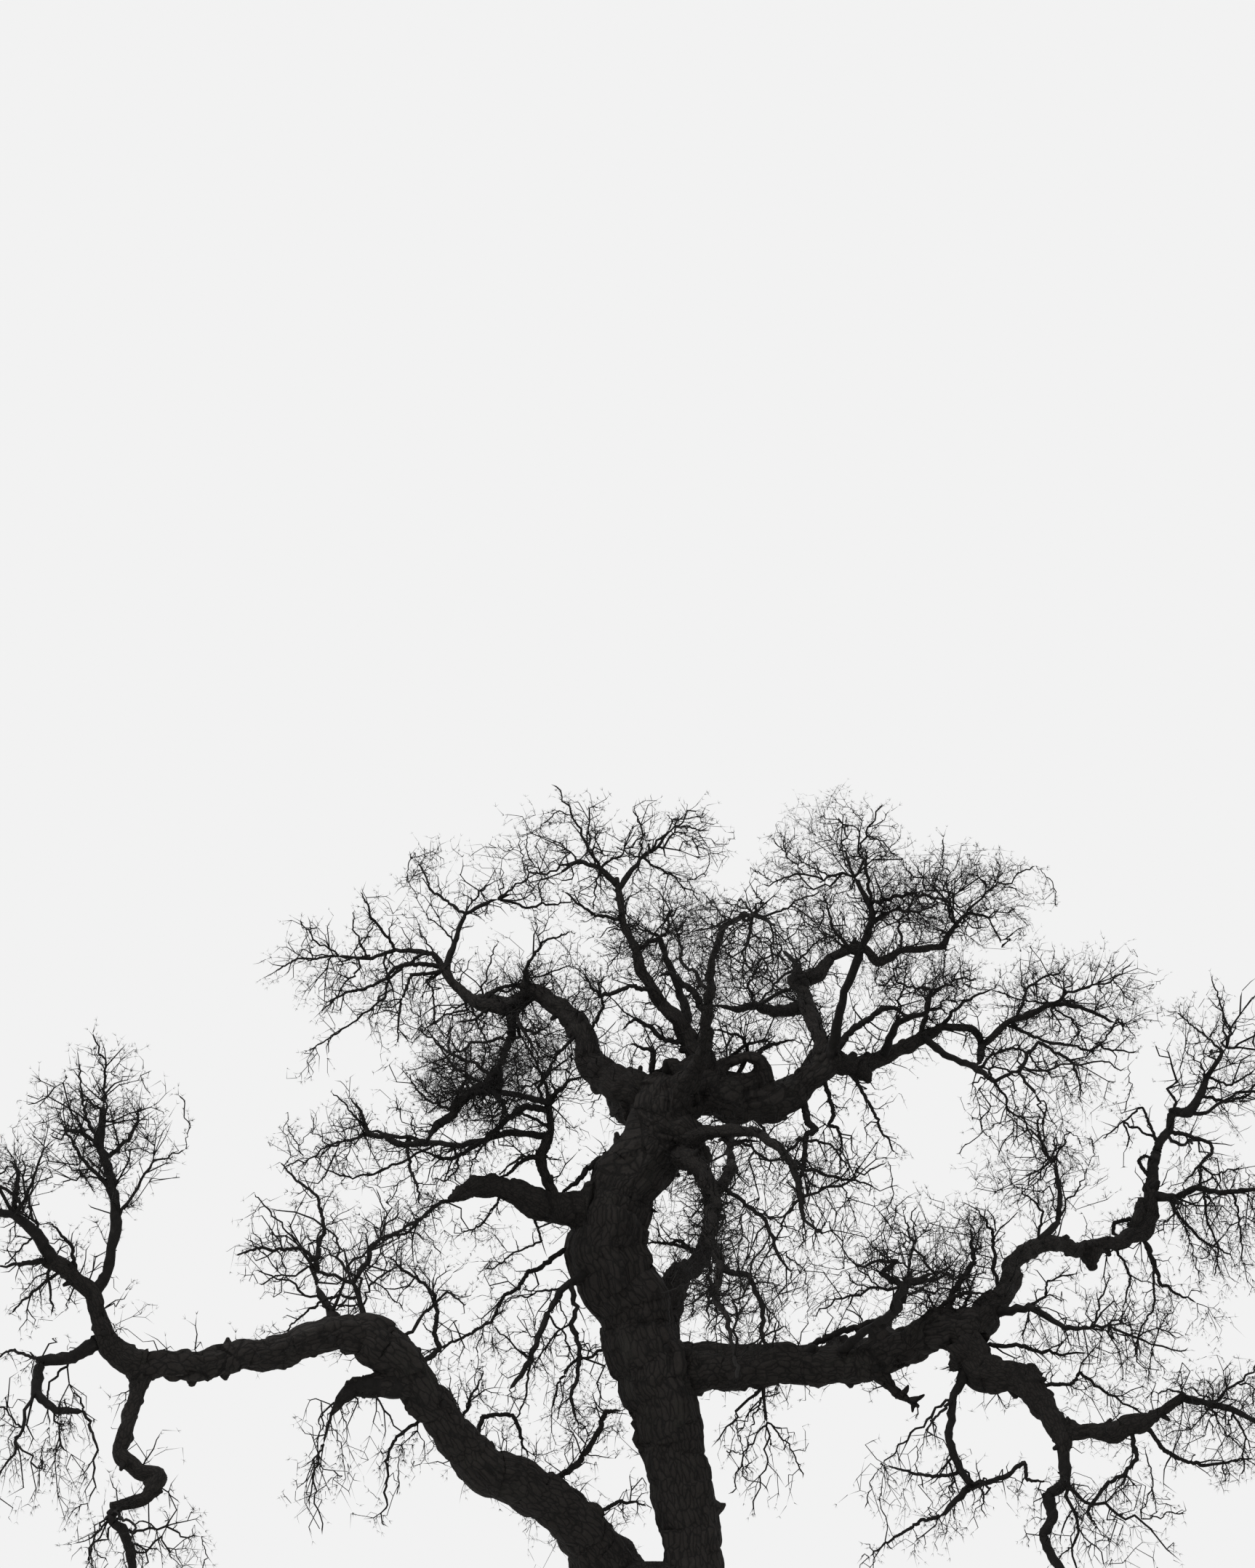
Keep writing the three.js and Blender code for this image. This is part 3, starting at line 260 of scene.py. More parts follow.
# Masses of twigs. stem: the first wood, [across, up, behind, thickness], from inside its limb. at: the
# middle of the mass's own space; size: half its width, depth and height. hangs: 0 for twigs that
# spread, up to 1 for twigs that weep. dense: how thick it is set with fine twigs.
MASSES = {
    "west_spire_twigs": {
        "stem": [[-7.78, 3.7, -4.3, 0.16], [-7.58, 4.05, -4.3, 0.15], [-7.45, 4.76, -4.3, 0.15],
            [-7.5, 5.3, -4.3, 0.14], [-7.67, 5.75, -4.3, 0.12], [-7.62, 6.4, -4.3, 0.09]],
        "at": [-7.65, 6.1, -4.3], "size": [1.2, 1.3, 1.35], "hangs": 0, "dense": 1.6,
    },
    "west_limb_twigs": {
        "stem": [[-8.3, 4.2, -4.7, 0.18], [-8.55, 4.6, -4.9, 0.16], [-8.85, 4.85, -5.1, 0.13],
            [-9.2, 4.9, -5.3, 0.1], [-9.7, 5.1, -5.5, 0.08]],
        "at": [-9.5, 5.3, -5.2], "size": [1.2, 1.4, 1.3], "hangs": 0, "dense": 1.3,
    },
    "west_crook_twigs": {
        "stem": [[-7.72, 3.1, -4.1, 0.22], [-8.05, 2.9, -4.3, 0.18], [-8.5, 2.84, -4.5, 0.16],
            [-8.55, 2.4, -4.7, 0.14], [-8.3, 2.18, -4.8, 0.1], [-7.9, 2.15, -4.9, 0.09]],
        "at": [-8.6, 1.5, -4.9], "size": [1.15, 1.2, 1.25], "hangs": 1, "dense": 0.6,
    },
    "west_drop_twigs": {
        "stem": [[-7.4, 0.84, -4.58, 0.14], [-7.55, 0.7, -4.65, 0.14], [-7.35, 0.5, -4.7, 0.14],
            [-7.25, 0.2, -4.75, 0.14], [-7.2, -0.2, -4.8, 0.1]],
        "at": [-7.1, 0.15, -4.7], "size": [1.05, 1.1, 0.95], "hangs": 0.7, "dense": 0.45,
    },
    "nw_left_twigs": {
        "stem": [[-2.93, 8.22, 1.68, 0.12], [-3.1, 8.45, 1.8, 0.08], [-3.6, 8.5, 2.0, 0.07],
            [-4.0, 8.38, 2.1, 0.06], [-4.4, 8.42, 2.1, 0.05]],
        "at": [-4.15, 8.25, 2.0], "size": [1.3, 1.4, 1.0], "hangs": 0.3, "dense": 0.9,
    },
    "nw_top_twigs": {
        "stem": [[-2.94, 8.2, 1.7, 0.12], [-2.8, 8.6, 1.75, 0.08], [-2.65, 9.0, 1.8, 0.07],
            [-2.2, 9.2, 1.9, 0.06]],
        "at": [-2.5, 9.4, 1.8], "size": [1.3, 1.3, 0.75], "hangs": 0, "dense": 0.6,
    },
    "broom_twigs": {
        "stem": [[-1.5, 6.4, -0.5, 0.1], [-1.9, 6.5, -0.9, 0.09], [-2.3, 6.55, -1.3, 0.09],
            [-2.75, 6.5, -1.7, 0.07]],
        "at": [-2.55, 6.75, -1.6], "size": [1, 1.3, 0.85], "hangs": 0, "dense": 3.4,
    },
    "left_outer_twigs": {
        "stem": [[-1.52, 5.95, -0.44, 0.1], [-2.1, 5.98, -0.3, 0.09], [-2.7, 5.8, 0, 0.09],
            [-3.3, 5.88, 0.3, 0.07], [-4, 6, 0.5, 0.06]],
        "at": [-4.15, 5.7, 0.4], "size": [1.25, 1.3, 1], "hangs": 0.3, "dense": 0.5,
    },
    "left_mid_twigs": {
        "stem": [[-4.0, 3.2, -2.5, 0.12], [-4.08, 3.6, -2.5, 0.08], [-4.2, 3.92, -2.5, 0.07],
            [-4.7, 4.08, -2.6, 0.06], [-4.9, 4.4, -2.6, 0.05]],
        "at": [-4.6, 4.45, -2.5], "size": [1.5, 1.4, 1.0], "hangs": 0.2, "dense": 0.25,
    },
    "left_hanging_twigs": {
        "stem": [[-3.5, 2.55, -2.25, 0.42], [-3.9, 2.5, -2.4, 0.34], [-4.2, 2.48, -2.5, 0.24],
            [-4.5, 2.1, -2.6, 0.06], [-4.6, 1.7, -2.6, 0.05]],
        "at": [-4.35, 1.35, -2.6], "size": [0.95, 1.1, 1.15], "hangs": 1, "dense": 0.3,
    },
    "inner_left_twigs": {
        "stem": [[-0.9, 4.1, -0.2, 0.2], [-1.3, 3.85, -0.7, 0.1], [-1.52, 3.5, -1.0, 0.09],
            [-1.75, 2.85, -1.3, 0.09], [-2.05, 2.45, -1.5, 0.07]],
        "at": [-1.95, 2.9, -0.9], "size": [0.95, 1.1, 1.1], "hangs": 0.3, "dense": 0.6,
    },
    "top_left_twigs": {
        "stem": [[-0.57, 9.4, 0.3, 0.1], [-0.8, 9.62, 0.3, 0.08], [-1.1, 9.72, 0.3, 0.07],
            [-1.35, 9.55, 0.3, 0.05]],
        "at": [-1.2, 9.85, 0.3], "size": [1.2, 1.3, 1.0], "hangs": 0, "dense": 0.8,
    },
    "top_right_twigs": {
        "stem": [[-0.57, 9.3, 0.3, 0.1], [-0.25, 9.75, 0.4, 0.07], [0, 9.92, 0.5, 0.06],
            [0.15, 10.15, 0.5, 0.05]],
        "at": [0.25, 9.9, 0.5], "size": [0.95, 1.2, 0.95], "hangs": 0, "dense": 0.7,
    },
    "top_middle_twigs": {
        "stem": [[0.5, 7.05, 0.08, 0.2], [0.35, 7.8, 0.5, 0.12], [0.15, 8.3, 0.8, 0.1],
            [0, 8.7, 1, 0.08]],
        "at": [0.1, 8.75, 1], "size": [1.2, 1.4, 0.95], "hangs": 0, "dense": 1.9,
    },
    "south_top_twigs": {
        "stem": [[1.16, 8.98, -3.93, 0.08], [1.45, 8.95, -4.4, 0.07], [1.6, 8.8, -4.8, 0.06]],
        "at": [1.3, 8.65, -4.3], "size": [1.4, 1.6, 0.95], "hangs": 0, "dense": 1.0,
    },
    "ne_fork_twigs": {
        "stem": [[2.36, 6.9, 0.35, 0.2], [2.45, 7.4, 0.05, 0.14], [2.55, 7.86, -0.4, 0.12],
            [2.76, 8.4, -0.9, 0.12], [2.95, 9.0, -1.1, 0.1], [2.7, 9.5, -1.2, 0.07]],
        "at": [2.5, 9.6, -1.1], "size": [1.3, 1.5, 1.15], "hangs": 0, "dense": 2.2,
    },
    "ne_contorted_twigs": {
        "stem": [[3.9, 8.55, 2.18, 0.1], [4.1, 8.85, 2.3, 0.07], [4.25, 9.0, 2.4, 0.06],
            [4.6, 8.95, 2.5, 0.05]],
        "at": [4.2, 9.2, 2.0], "size": [1.35, 1.5, 0.9], "hangs": 0, "dense": 2.45,
    },
    "ne_middle_twigs": {
        "stem": [[3.1, 7.03, 0.87, 0.14], [3.3, 7.5, 0.4, 0.09], [3.7, 7.65, -0.2, 0.08],
            [3.75, 7.95, -0.6, 0.07]],
        "at": [3.6, 8.1, -0.9], "size": [1.05, 1.3, 0.65], "hangs": 0, "dense": 1.3,
    },
    "ne_far_twigs": {
        "stem": [[5.05, 7.58, 1.57, 0.1], [5.4, 7.75, 1.7, 0.08], [5.8, 7.72, 1.9, 0.07],
            [6.3, 7.5, 2.1, 0.05]],
        "at": [5.75, 7.85, 1.9], "size": [1.35, 1.5, 0.9], "hangs": 0, "dense": 1.7,
    },
    "ne_low_twigs": {
        "stem": [[3.65, 7.29, 1.1, 0.12], [4, 7.03, 0.8, 0.1], [4.35, 6.9, 0.3, 0.1],
            [4.6, 6.7, -0.3, 0.07], [4.95, 6.82, -0.8, 0.06], [5.2, 6.5, -1.1, 0.06]],
        "at": [5.3, 6.45, -0.8], "size": [1.35, 1.4, 0.95], "hangs": 0.5, "dense": 0.8,
    },
    "shoulder_twigs": {
        "stem": [[1.85, 5.54, -2.25, 0.12], [1.97, 5.1, -2.5, 0.08], [2.0, 4.8, -2.6, 0.07],
            [2.25, 4.6, -2.8, 0.05]],
        "at": [2.3, 5.0, -2.7], "size": [1.25, 1.4, 1.15], "hangs": 0.6, "dense": 0.45,
    },
    "south_twigs": {
        "stem": [[0.97, 3.43, -4.55, 0.08], [1.05, 2.9, -5.2, 0.07], [1.1, 2.6, -5.7, 0.06]],
        "at": [1.1, 3.9, -4.9], "size": [1.3, 1.5, 1.15], "hangs": 0.6, "dense": 0.7,
    },
    "north_twigs": {
        "stem": [[1, 5.59, 4.3, 0.12], [1, 5.9, 4.9, 0.09], [1.05, 6.2, 5.5, 0.07]],
        "at": [0.95, 5.3, 5.1], "size": [1.7, 1.7, 1.2], "hangs": 0.3, "dense": 0.75,
    },
    "north_west_twigs": {
        "stem": [[-2.03, 7.79, 4.65, 0.13], [-2.4, 7.85, 5.1, 0.09], [-2.6, 7.8, 5.6, 0.07]],
        "at": [-2.1, 7.6, 5.1], "size": [1.5, 1.6, 1.1], "hangs": 0.2, "dense": 0.85,
    },
    "north_east_twigs": {
        "stem": [[1.97, 7.97, 4.8, 0.12], [1.9, 8.3, 5.3, 0.08], [1.7, 8.5, 5.8, 0.06]],
        "at": [1.5, 8.2, 5], "size": [1.5, 1.6, 1], "hangs": 0, "dense": 0.85,
    },
    "north_west_low_twigs": {
        "stem": [[-4.12, 3.12, 4.08, 0.18], [-4.5, 3.5, 4.4, 0.12], [-4.7, 3.9, 4.7, 0.08]],
        "at": [-4.4, 4.2, 4.5], "size": [1.6, 1.7, 1.15], "hangs": 0.3, "dense": 0.7,
    },
    "north_east_low_twigs": {
        "stem": [[3.16, 3.42, 4.75, 0.13], [3.4, 3.8, 5.3, 0.09], [3.5, 4.1, 5.8, 0.07]],
        "at": [3.1, 4.0, 5.0], "size": [1.7, 1.6, 1.15], "hangs": 0.3, "dense": 0.7,
    },
    "east_top_twigs": {
        "stem": [[2.5, 2.95, -0.55, 0.14], [2.85, 3.26, -1.2, 0.11], [3.25, 3.5, -1.9, 0.11],
            [3.38, 3.9, -2.6, 0.09], [3.8, 4.05, -3.1, 0.07]],
        "at": [3.7, 4.45, -3.2], "size": [1.1, 1.4, 0.9], "hangs": 0, "dense": 0.9,
    },
    "east_upright_twigs": {
        "stem": [[5.15, 4.42, -0.19, 0.12], [5.5, 4.75, 0.2, 0.09], [5.53, 5.1, 0.5, 0.08],
            [5.45, 5.6, 0.8, 0.06]],
        "at": [5.2, 5.5, 0.9], "size": [1.2, 1.3, 0.8], "hangs": 0.2, "dense": 0.95,
    },
    "east_spire_twigs": {
        "stem": [[6.79, 5.3, 1.82, 0.17], [6.82, 5.6, 1.9, 0.16], [6.9, 5.86, 2.1, 0.13],
            [7.03, 6.02, 2.2, 0.12], [7.07, 6.27, 2.3, 0.12], [7.3, 6.26, 2.4, 0.14],
            [7.48, 6.55, 2.5, 0.11], [7.55, 6.75, 2.6, 0.09], [7.82, 7.15, 2.7, 0.06]],
        "at": [7.95, 6.8, 2.7], "size": [1.35, 1.5, 1.5], "hangs": 0.1, "dense": 1,
    },
    "east_side_twigs": {
        "stem": [[6.76, 5.12, 1.77, 0.16], [7.13, 5.09, 1.5, 0.1], [7.4, 5.23, 1.2, 0.09],
            [7.78, 5.16, 0.8, 0.08], [8.3, 5.22, 0.4, 0.06]],
        "at": [8, 4.7, 0.6], "size": [1.4, 1.4, 0.95], "hangs": 0.7, "dense": 1.3,
    },
    "east_middle_twigs": {
        "stem": [[4.6, 3.5, -1.2, 0.16], [5.1, 3.6, -1.7, 0.1], [5.6, 3.3, -2.1, 0.08],
            [5.95, 3.3, -2.4, 0.06]],
        "at": [6.2, 3.2, -2.3], "size": [1.4, 1.3, 0.85], "hangs": 0.4, "dense": 0.8,
    },
    "east_far_twigs": {
        "stem": [[7.18, 2.34, -2.78, 0.12], [7.55, 2.26, -2.9, 0.09], [7.9, 2.18, -3.0, 0.09],
            [8.35, 1.95, -3.2, 0.07]],
        "at": [8.0, 2.15, -3.1], "size": [1.3, 1.4, 1.0], "hangs": 0.5, "dense": 1.7,
    },
    "east_drop_twigs": {
        "stem": [[5.57, 1.62, -2.28, 0.17], [5.6, 1.16, -2.4, 0.16], [5.36, 1.0, -2.45, 0.16],
            [5.43, 0.7, -2.5, 0.15], [5.3, 0.46, -2.5, 0.14], [5.45, 0.1, -2.6, 0.12],
            [5.7, -0.2, -2.7, 0.1]],
        "at": [6.1, 0.55, -2.7], "size": [1.3, 1.3, 1.2], "hangs": 1, "dense": 0.5,
    },
    "east_hanger_twigs": {
        "stem": [[4.25, 2.75, -1.6, 0.16], [4.05, 2.3, -1.75, 0.12], [4.0, 1.76, -1.9, 0.11],
            [4.15, 1.36, -2.0, 0.1], [4.3, 1.12, -2.1, 0.11], [3.85, 0.7, -2.2, 0.07]],
        "at": [3.7, 0.95, -2.1], "size": [1.1, 1.2, 0.95], "hangs": 0.8, "dense": 0.35,
    },
    "east_hanging_twigs": {
        "stem": [[1.45, 2.65, -0.25, 0.1], [1.45, 2.35, -0.3, 0.06], [1.5, 2.0, -0.35, 0.05]],
        "at": [1.4, 1.55, -0.4], "size": [0.75, 0.9, 0.95], "hangs": 1, "dense": 0.25,
    },
}

# How thick each bough is set with shoots and fine twigs, where that isn't 1
BOUGH_DENSITY = {
    "leader": 0.5, "west_bough": 0.4, "west_bough_outer": 0.4, "west_rise": 1.0, "west_drop": 0.5,
    "broken_bough": 0.3, "nw_limb": 3.2, "top_leader": 3.2, "ne_bough": 1.6, "ne_outer": 1.6,
    "ne_contorted": 2.6, "shoulder_limb": 2.0, "south_bough": 4.5, "south_top": 2.4, "north_bough": 1.6,
    "east_bough": 0.7, "east_upper": 1.0, "east_lower": 0.9, "east_far": 0.9,
}

# Side branches too slight for the solids: thickness at the foot and at the end, how far behind its foot
# the end lies, how much its twigs hang, how thick it is set with them, and its route as [across, up].
# Its foot is in the limb that shows there.
SIDE_BRANCHES = [
    # on the west fork
    [0.1, 0.05, -0.5, 0.5, 2, [[-8.3, 4.24], [-8.65, 4.2], [-9.05, 4.14]]],
    [0.05, 0.03, 0.3, 0.3, 1.5, [[-8.2, 4.1], [-8.6, 3.8], [-8.9, 3.5]]],
    [0.09, 0.04, 0.4, 0, 1.3, [[-8.85, 4.86], [-8.83, 5.16], [-8.8, 5.46], [-8.9, 5.6]]],
    [0.08, 0.03, -0.4, 0, 1.2, [[-8, 3.95], [-8.05, 4.4], [-8.35, 4.75]]],
    [0.06, 0.03, 0.3, 0.6, 0.8, [[-8.37, 4.1], [-8.35, 3.46]]],
    [0.08, 0.04, 0.3, 0, 1.6, [[-7.62, 5.6], [-7.25, 5.95], [-7.1, 6.35]]],
    [0.07, 0.03, -0.4, 0, 1.6, [[-7.5, 5.2], [-7.95, 5.65], [-8.2, 6.1]]],
    [0.06, 0.03, 0.3, 0, 1.4, [[-7.66, 5.8], [-7.9, 6.3], [-7.95, 6.9]]],
    [0.06, 0.03, -0.3, 0, 1.2, [[-8.85, 4.85], [-8.6, 5.3], [-8.45, 5.8]]],
    [0.05, 0.03, 0.4, 0.5, 0.9, [[-8.5, 2.84], [-8.85, 3], [-9.1, 2.9]]],
    # on the west bough
    [0.08, 0.03, 0.3, 0, 1.3, [[-3, 3], [-3.08, 3.22], [-3.03, 3.51], [-3.11, 3.77], [-3.22, 3.92],
        [-3.48, 4.08], [-3.7, 4.3]]],
    [0.05, 0.02, -0.2, 0, 1, [[-3.1, 3.6], [-2.9, 3.8], [-2.65, 3.62]]],
    [0.08, 0.04, 0.5, 0, 1.3, [[-4.18, 3.95], [-3.97, 4.27], [-3.95, 4.42], [-3.79, 4.53], [-3.5, 4.65],
        [-3.1, 4.9]]],
    [0.07, 0.03, -0.4, 0, 0.8, [[-4.68, 4.11], [-4.73, 4.27], [-4.94, 4.4], [-5.12, 4.37], [-5.52, 4.4],
        [-5.8, 4.3]]],
    [0.07, 0.03, 0.3, 0, 0.8, [[-4.68, 4.27], [-4.65, 4.53], [-4.58, 4.61], [-4.63, 4.84], [-4.68, 5.1],
        [-4.94, 5.31], [-5.2, 5.58]]],
    [0.05, 0.02, 0.2, 0.2, 0.5, [[-4.1, 3.7], [-4.42, 3.74], [-4.68, 3.64], [-4.94, 3.43],
        [-5.12, 3.25]]],
    [0.06, 0.03, 0.2, 1, 0.7, [[-3.17, 2.1], [-3.6, 1.8], [-3.75, 1.46], [-3.7, 0.56]]],
    [0.08, 0.05, 0.4, 0.2, 0.8, [[-2.51, 1.7], [-2.42, 2.08], [-2, 2.1], [-1.9, 1.89], [-1.8, 1.51]]],
    [0.05, 0.03, 0.2, 0.1, 2.5, [[-2.75, 1.85], [-2.6, 2.3], [-2.4, 2.7]]],
    [0.1, 0.06, 0.5, 0.1, 2.8, [[-1.43, 1.2], [-1.05, 1.49], [-0.81, 1.89], [-0.72, 2.15], [-0.5, 2.17]]],
    [0.07, 0.04, 0.2, 0.3, 0.8, [[-0.75, 0.8], [-0.5, 0.92], [-0.15, 0.86]]],
    [0.06, 0.03, -0.3, 0.8, 1, [[-2.75, 1.7], [-2.55, 1.35], [-2.3, 1.1]]],
    # on the leader's west side
    [0.09, 0.04, -0.5, 0.4, 1.8, [[-1.2, 3.9], [-1.12, 3.21], [-1.07, 2.88], [-1.19, 2.31], [-1.1, 1.94]]],
    [0.08, 0.03, -0.6, 0.3, 1.2, [[-1.3, 4.37], [-1.65, 4.11], [-1.8, 4.06], [-1.91, 3.85], [-2.12, 3.74],
        [-2.27, 3.43], [-2.59, 3.22], [-2.9, 3.06], [-3.16, 2.99]]],
    [0.1, 0.07, -0.2, 0, 0.7, [[-0.5, 5.75], [-0.87, 5.57], [-1.09, 5.35], [-1.4, 5.1]]],
    [0.08, 0.06, -0.2, 0, 0.5, [[-0.72, 5.65], [-0.88, 5.4], [-0.95, 5.15]]],
    [0.05, 0.03, -0.4, 0.5, 1, [[-1.1, 2.9], [-1.35, 2.6], [-1.45, 2.2]]],
    # the broken bough's riser, tip and underside
    [0.06, 0.03, -0.4, 0.3, 1.6, [[-1.53, 5.66], [-1.88, 5.65], [-2.2, 5.4]]],
    [0.11, 0.04, -0.6, 0.4, 2.8, [[-1.52, 6.3], [-1.8, 6.35], [-2.11, 6.13], [-2.24, 6.01],
        [-2.53, 5.79], [-2.83, 5.63], [-3, 5.63], [-3.25, 5.75]]],
    [0.06, 0.03, -0.3, 0.2, 3, [[-1.5, 6.05], [-1.86, 6.25], [-2.2, 6.15]]],
    [0.1, 0.06, 0.5, 0, 4, [[-1.5, 6.38], [-1.39, 6.56], [-1.03, 6.8]]],
    [0.06, 0.03, -0.2, 0, 4, [[-1.5, 6.3], [-1.65, 6.6], [-1.45, 6.85], [-1.25, 7]]],
    [0.09, 0.03, -0.1, 0.1, 0.8, [[-1.62, 5.64], [-1.77, 5.65], [-1.94, 5.54], [-2.07, 5.41],
        [-2.19, 5.37]]],
    [0.07, 0.03, -0.4, 0.1, 4, [[-1.5, 6.45], [-1.6, 6.8], [-1.75, 7.1]]],
    [0.07, 0.03, -0.5, 0.1, 4, [[-1.05, 7.4], [-1.4, 7.05], [-1.6, 6.7], [-1.9, 6.6]]],
    [0.07, 0.03, -1, 0.2, 3, [[-2.85, 5.08], [-3.11, 4.95], [-3.27, 4.79], [-3.42, 4.63], [-3.8, 4.5]]],
    [0.06, 0.03, -0.8, 0.4, 1.6, [[-3.45, 5.86], [-3.42, 5.52], [-3.32, 5.26], [-3.27, 5]]],
    [0.05, 0.02, -0.5, 0.4, 1.5, [[-1.7, 4.8], [-1.6, 4.5], [-1.95, 4.35], [-2.3, 4.1]]],
    [0.05, 0.02, -0.5, 0.4, 1.4, [[-2.2, 5.05], [-2.4, 4.75], [-2.7, 4.6]]],
    [0.05, 0.02, -0.3, 0.4, 2.5, [[-2.2, 6.05], [-2.45, 5.75], [-2.6, 5.45]]],
    [0.05, 0.02, 0.2, 0.4, 2.5, [[-2.8, 5.75], [-2.75, 5.5], [-2.95, 5.3]]],
    [0.05, 0.02, -0.2, 0, 2, [[-2.85, 6.3], [-3.2, 6.45], [-3.4, 6.7]]],
    [0.05, 0.02, -0.3, 0.1, 1, [[-3, 5.84], [-3.6, 5.55], [-4.2, 5.35], [-4.6, 5.5]]],
    # on the north-west limb: the bent limb that drops through the broom, and the fork's lower arms
    [0.15, 0.11, -0.5, 0.1, 4, [[-2.02, 7.75], [-2.02, 7.36], [-2.11, 7.07], [-2.28, 6.73]]],
    [0.15, 0.12, -0.3, 0.1, 3, [[-2.2, 6.85], [-2.35, 6.65], [-2.53, 6.56], [-2.75, 6.38], [-2.83, 6.22],
        [-3.04, 6.09], [-3.2, 5.84]]],
    [0.12, 0.03, 0.3, 0.1, 0.7, [[-3.15, 5.86], [-3.55, 5.83], [-3.8, 5.94], [-3.99, 5.96],
        [-4.02, 6.09], [-4.1, 6.3], [-4.25, 6.47]]],
    [0.05, 0.02, 0.3, 0.1, 1.4, [[-3.98, 5.97], [-4.18, 5.9], [-4.44, 5.84], [-4.65, 5.67]]],
    [0.08, 0.04, -0.2, 0.1, 2.5, [[-2.4, 7.8], [-2.2, 7.97], [-1.95, 8.02], [-1.75, 7.9]]],
    [0.07, 0.04, -0.5, 0.2, 2, [[-2.3, 7.72], [-2.5, 7.55], [-2.75, 7.5]]],
    [0.07, 0.04, -0.5, 0.1, 2.5, [[-2.2, 7.75], [-2, 7.5], [-1.7, 7.35], [-1.5, 7.45]]],
    [0.06, 0.03, -0.6, 0.1, 5, [[-1.75, 7.85], [-1.95, 7.6], [-1.8, 7.3], [-1.6, 7.0]]],
    [0.09, 0.05, -0.5, 0.1, 3, [[-2.4, 6.65], [-2.1, 6.4], [-2.2, 6.1]]],
    [0.06, 0.02, 0.3, 0.3, 1.2, [[-3.2, 8.45], [-3.71, 8.1], [-3.76, 7.83], [-4.43, 7.34],
        [-4.83, 7.11]]],
    [0.07, 0.03, -0.6, 0.3, 1.2, [[-2.93, 8.2], [-3.4, 8.15], [-3.55, 7.7], [-3.6, 7.2]]],
    [0.08, 0.03, -0.2, 0.2, 1, [[-2.98, 8.28], [-3.38, 8.31], [-3.63, 8.25], [-3.74, 8.1], [-4.1, 7.95],
        [-4.31, 7.91], [-4.6, 7.7]]],
    [0.05, 0.02, -0.3, 0.3, 0.8, [[-2.95, 8.2], [-3.19, 8.08], [-3.1, 7.95], [-3.08, 7.53], [-3.2, 7.4]]],
    [0.05, 0.02, 0.2, 0.1, 0.6, [[-2.7, 7.9], [-2.62, 7.68], [-2.9, 7.62], [-3.15, 7.45]]],
    [0.05, 0.02, 0.2, 0, 1, [[-4.4, 8.42], [-5.01, 8.35], [-5.28, 8.19]]],
    [0.05, 0.03, 0.3, 0, 1, [[-2.2, 9.2], [-1.74, 9.09], [-1.15, 9.18]]],
    [0.07, 0.03, -0.6, 0, 1.4, [[-1.75, 7.9], [-1.85, 8.2], [-1.6, 8.6], [-1.2, 8.75]]],
    [0.07, 0.03, -0.7, 0, 3, [[-1, 7.3], [-0.75, 7.7], [-0.85, 8.1]]],
    [0.06, 0.03, -0.4, 0.2, 2, [[-1.9, 7.3], [-2.6, 7.2], [-3.1, 6.9]]],
    [0.06, 0.03, 0.5, 0, 1.8, [[-2.3, 6.8], [-2.9, 7.1], [-3.3, 7.4]]],
    [0.06, 0.03, -0.4, 0, 1.4, [[-3.6, 8.5], [-3.9, 8.9], [-4.1, 9.3]]],
    [0.06, 0.03, 0.3, 0, 1.4, [[-2.65, 9], [-3.1, 9.3], [-3.3, 9.7]]],
    # on the top leader and the head of the tree
    [0.04, 0.02, 0.3, 0, 1, [[-0.85, 9.65], [-0.97, 10.21]]],
    [0.09, 0.04, -0.6, 0, 2, [[0, 7.85], [-0.35, 8], [-0.8, 7.85], [-1, 8.15]]],
    [0.1, 0.04, -0.5, 0, 2, [[0.5, 7.2], [0.1, 7.25], [-0.3, 7.55], [-0.5, 7.4]]],
    [0.08, 0.04, 0.6, 0, 2, [[-0.3, 8.5], [0.1, 8.7], [0.25, 9.1]]],
    [0.07, 0.03, -0.5, 0, 1.6, [[-0.5, 8.9], [-0.9, 9], [-1.3, 9.3]]],
    [0.16, 0.06, -0.4, 0, 2.4, [[0.64, 7.07], [0.67, 7.57], [0.5, 7.91], [0.17, 8.18], [0, 8.15]]],
    [0.08, 0.03, -0.4, 0, 3, [[0.98, 7], [1.2, 7.2], [1.5, 7.25]]],
    [0.08, 0.03, -0.3, 0, 3, [[1.25, 7.05], [1.15, 7.3], [0.8, 7.4]]],
    [0.09, 0.04, -0.5, 0, 2, [[1.35, 7.05], [1.57, 7.2], [1.9, 7.28]]],
    [0.12, 0.05, -0.4, 0, 2, [[-0.1, 6.7], [-0.05, 7.1], [-0.4, 7.2]]],
    [0.08, 0.03, 0.4, 0, 1.8, [[0.7, 7.9], [0.3, 8.4], [0.35, 8.9]]],
    # on the north-east limbs
    [0.28, 0.08, -0.5, 0.1, 3.2, [[2.12, 7.62], [1.99, 7.72], [1.78, 7.66], [1.57, 7.66], [1.32, 7.74],
        [1.1, 7.68], [0.73, 7.76]]],
    [0.06, 0.03, 0.3, 0, 3, [[1.32, 7.72], [1.25, 8.05], [1.45, 8.35]]],
    [0.26, 0.18, 0, 0, 1.4, [[1.98, 7.98], [1.92, 8.15], [1.95, 8.32]]],
    [0.13, 0.05, 0.5, 0, 1.8, [[2.4, 7.05], [2.67, 7.4], [2.89, 7.53], [3.06, 7.68], [3.23, 7.7],
        [3.48, 7.56]]],
    [0.07, 0.03, 0.3, 0, 1.8, [[2.95, 9], [2.85, 9.62], [2.89, 9.87]]],
    [0.07, 0.03, 0.4, 0, 3.5, [[2.95, 9.15], [3.43, 9.29], [3.73, 9.24], [4.23, 9.12]]],
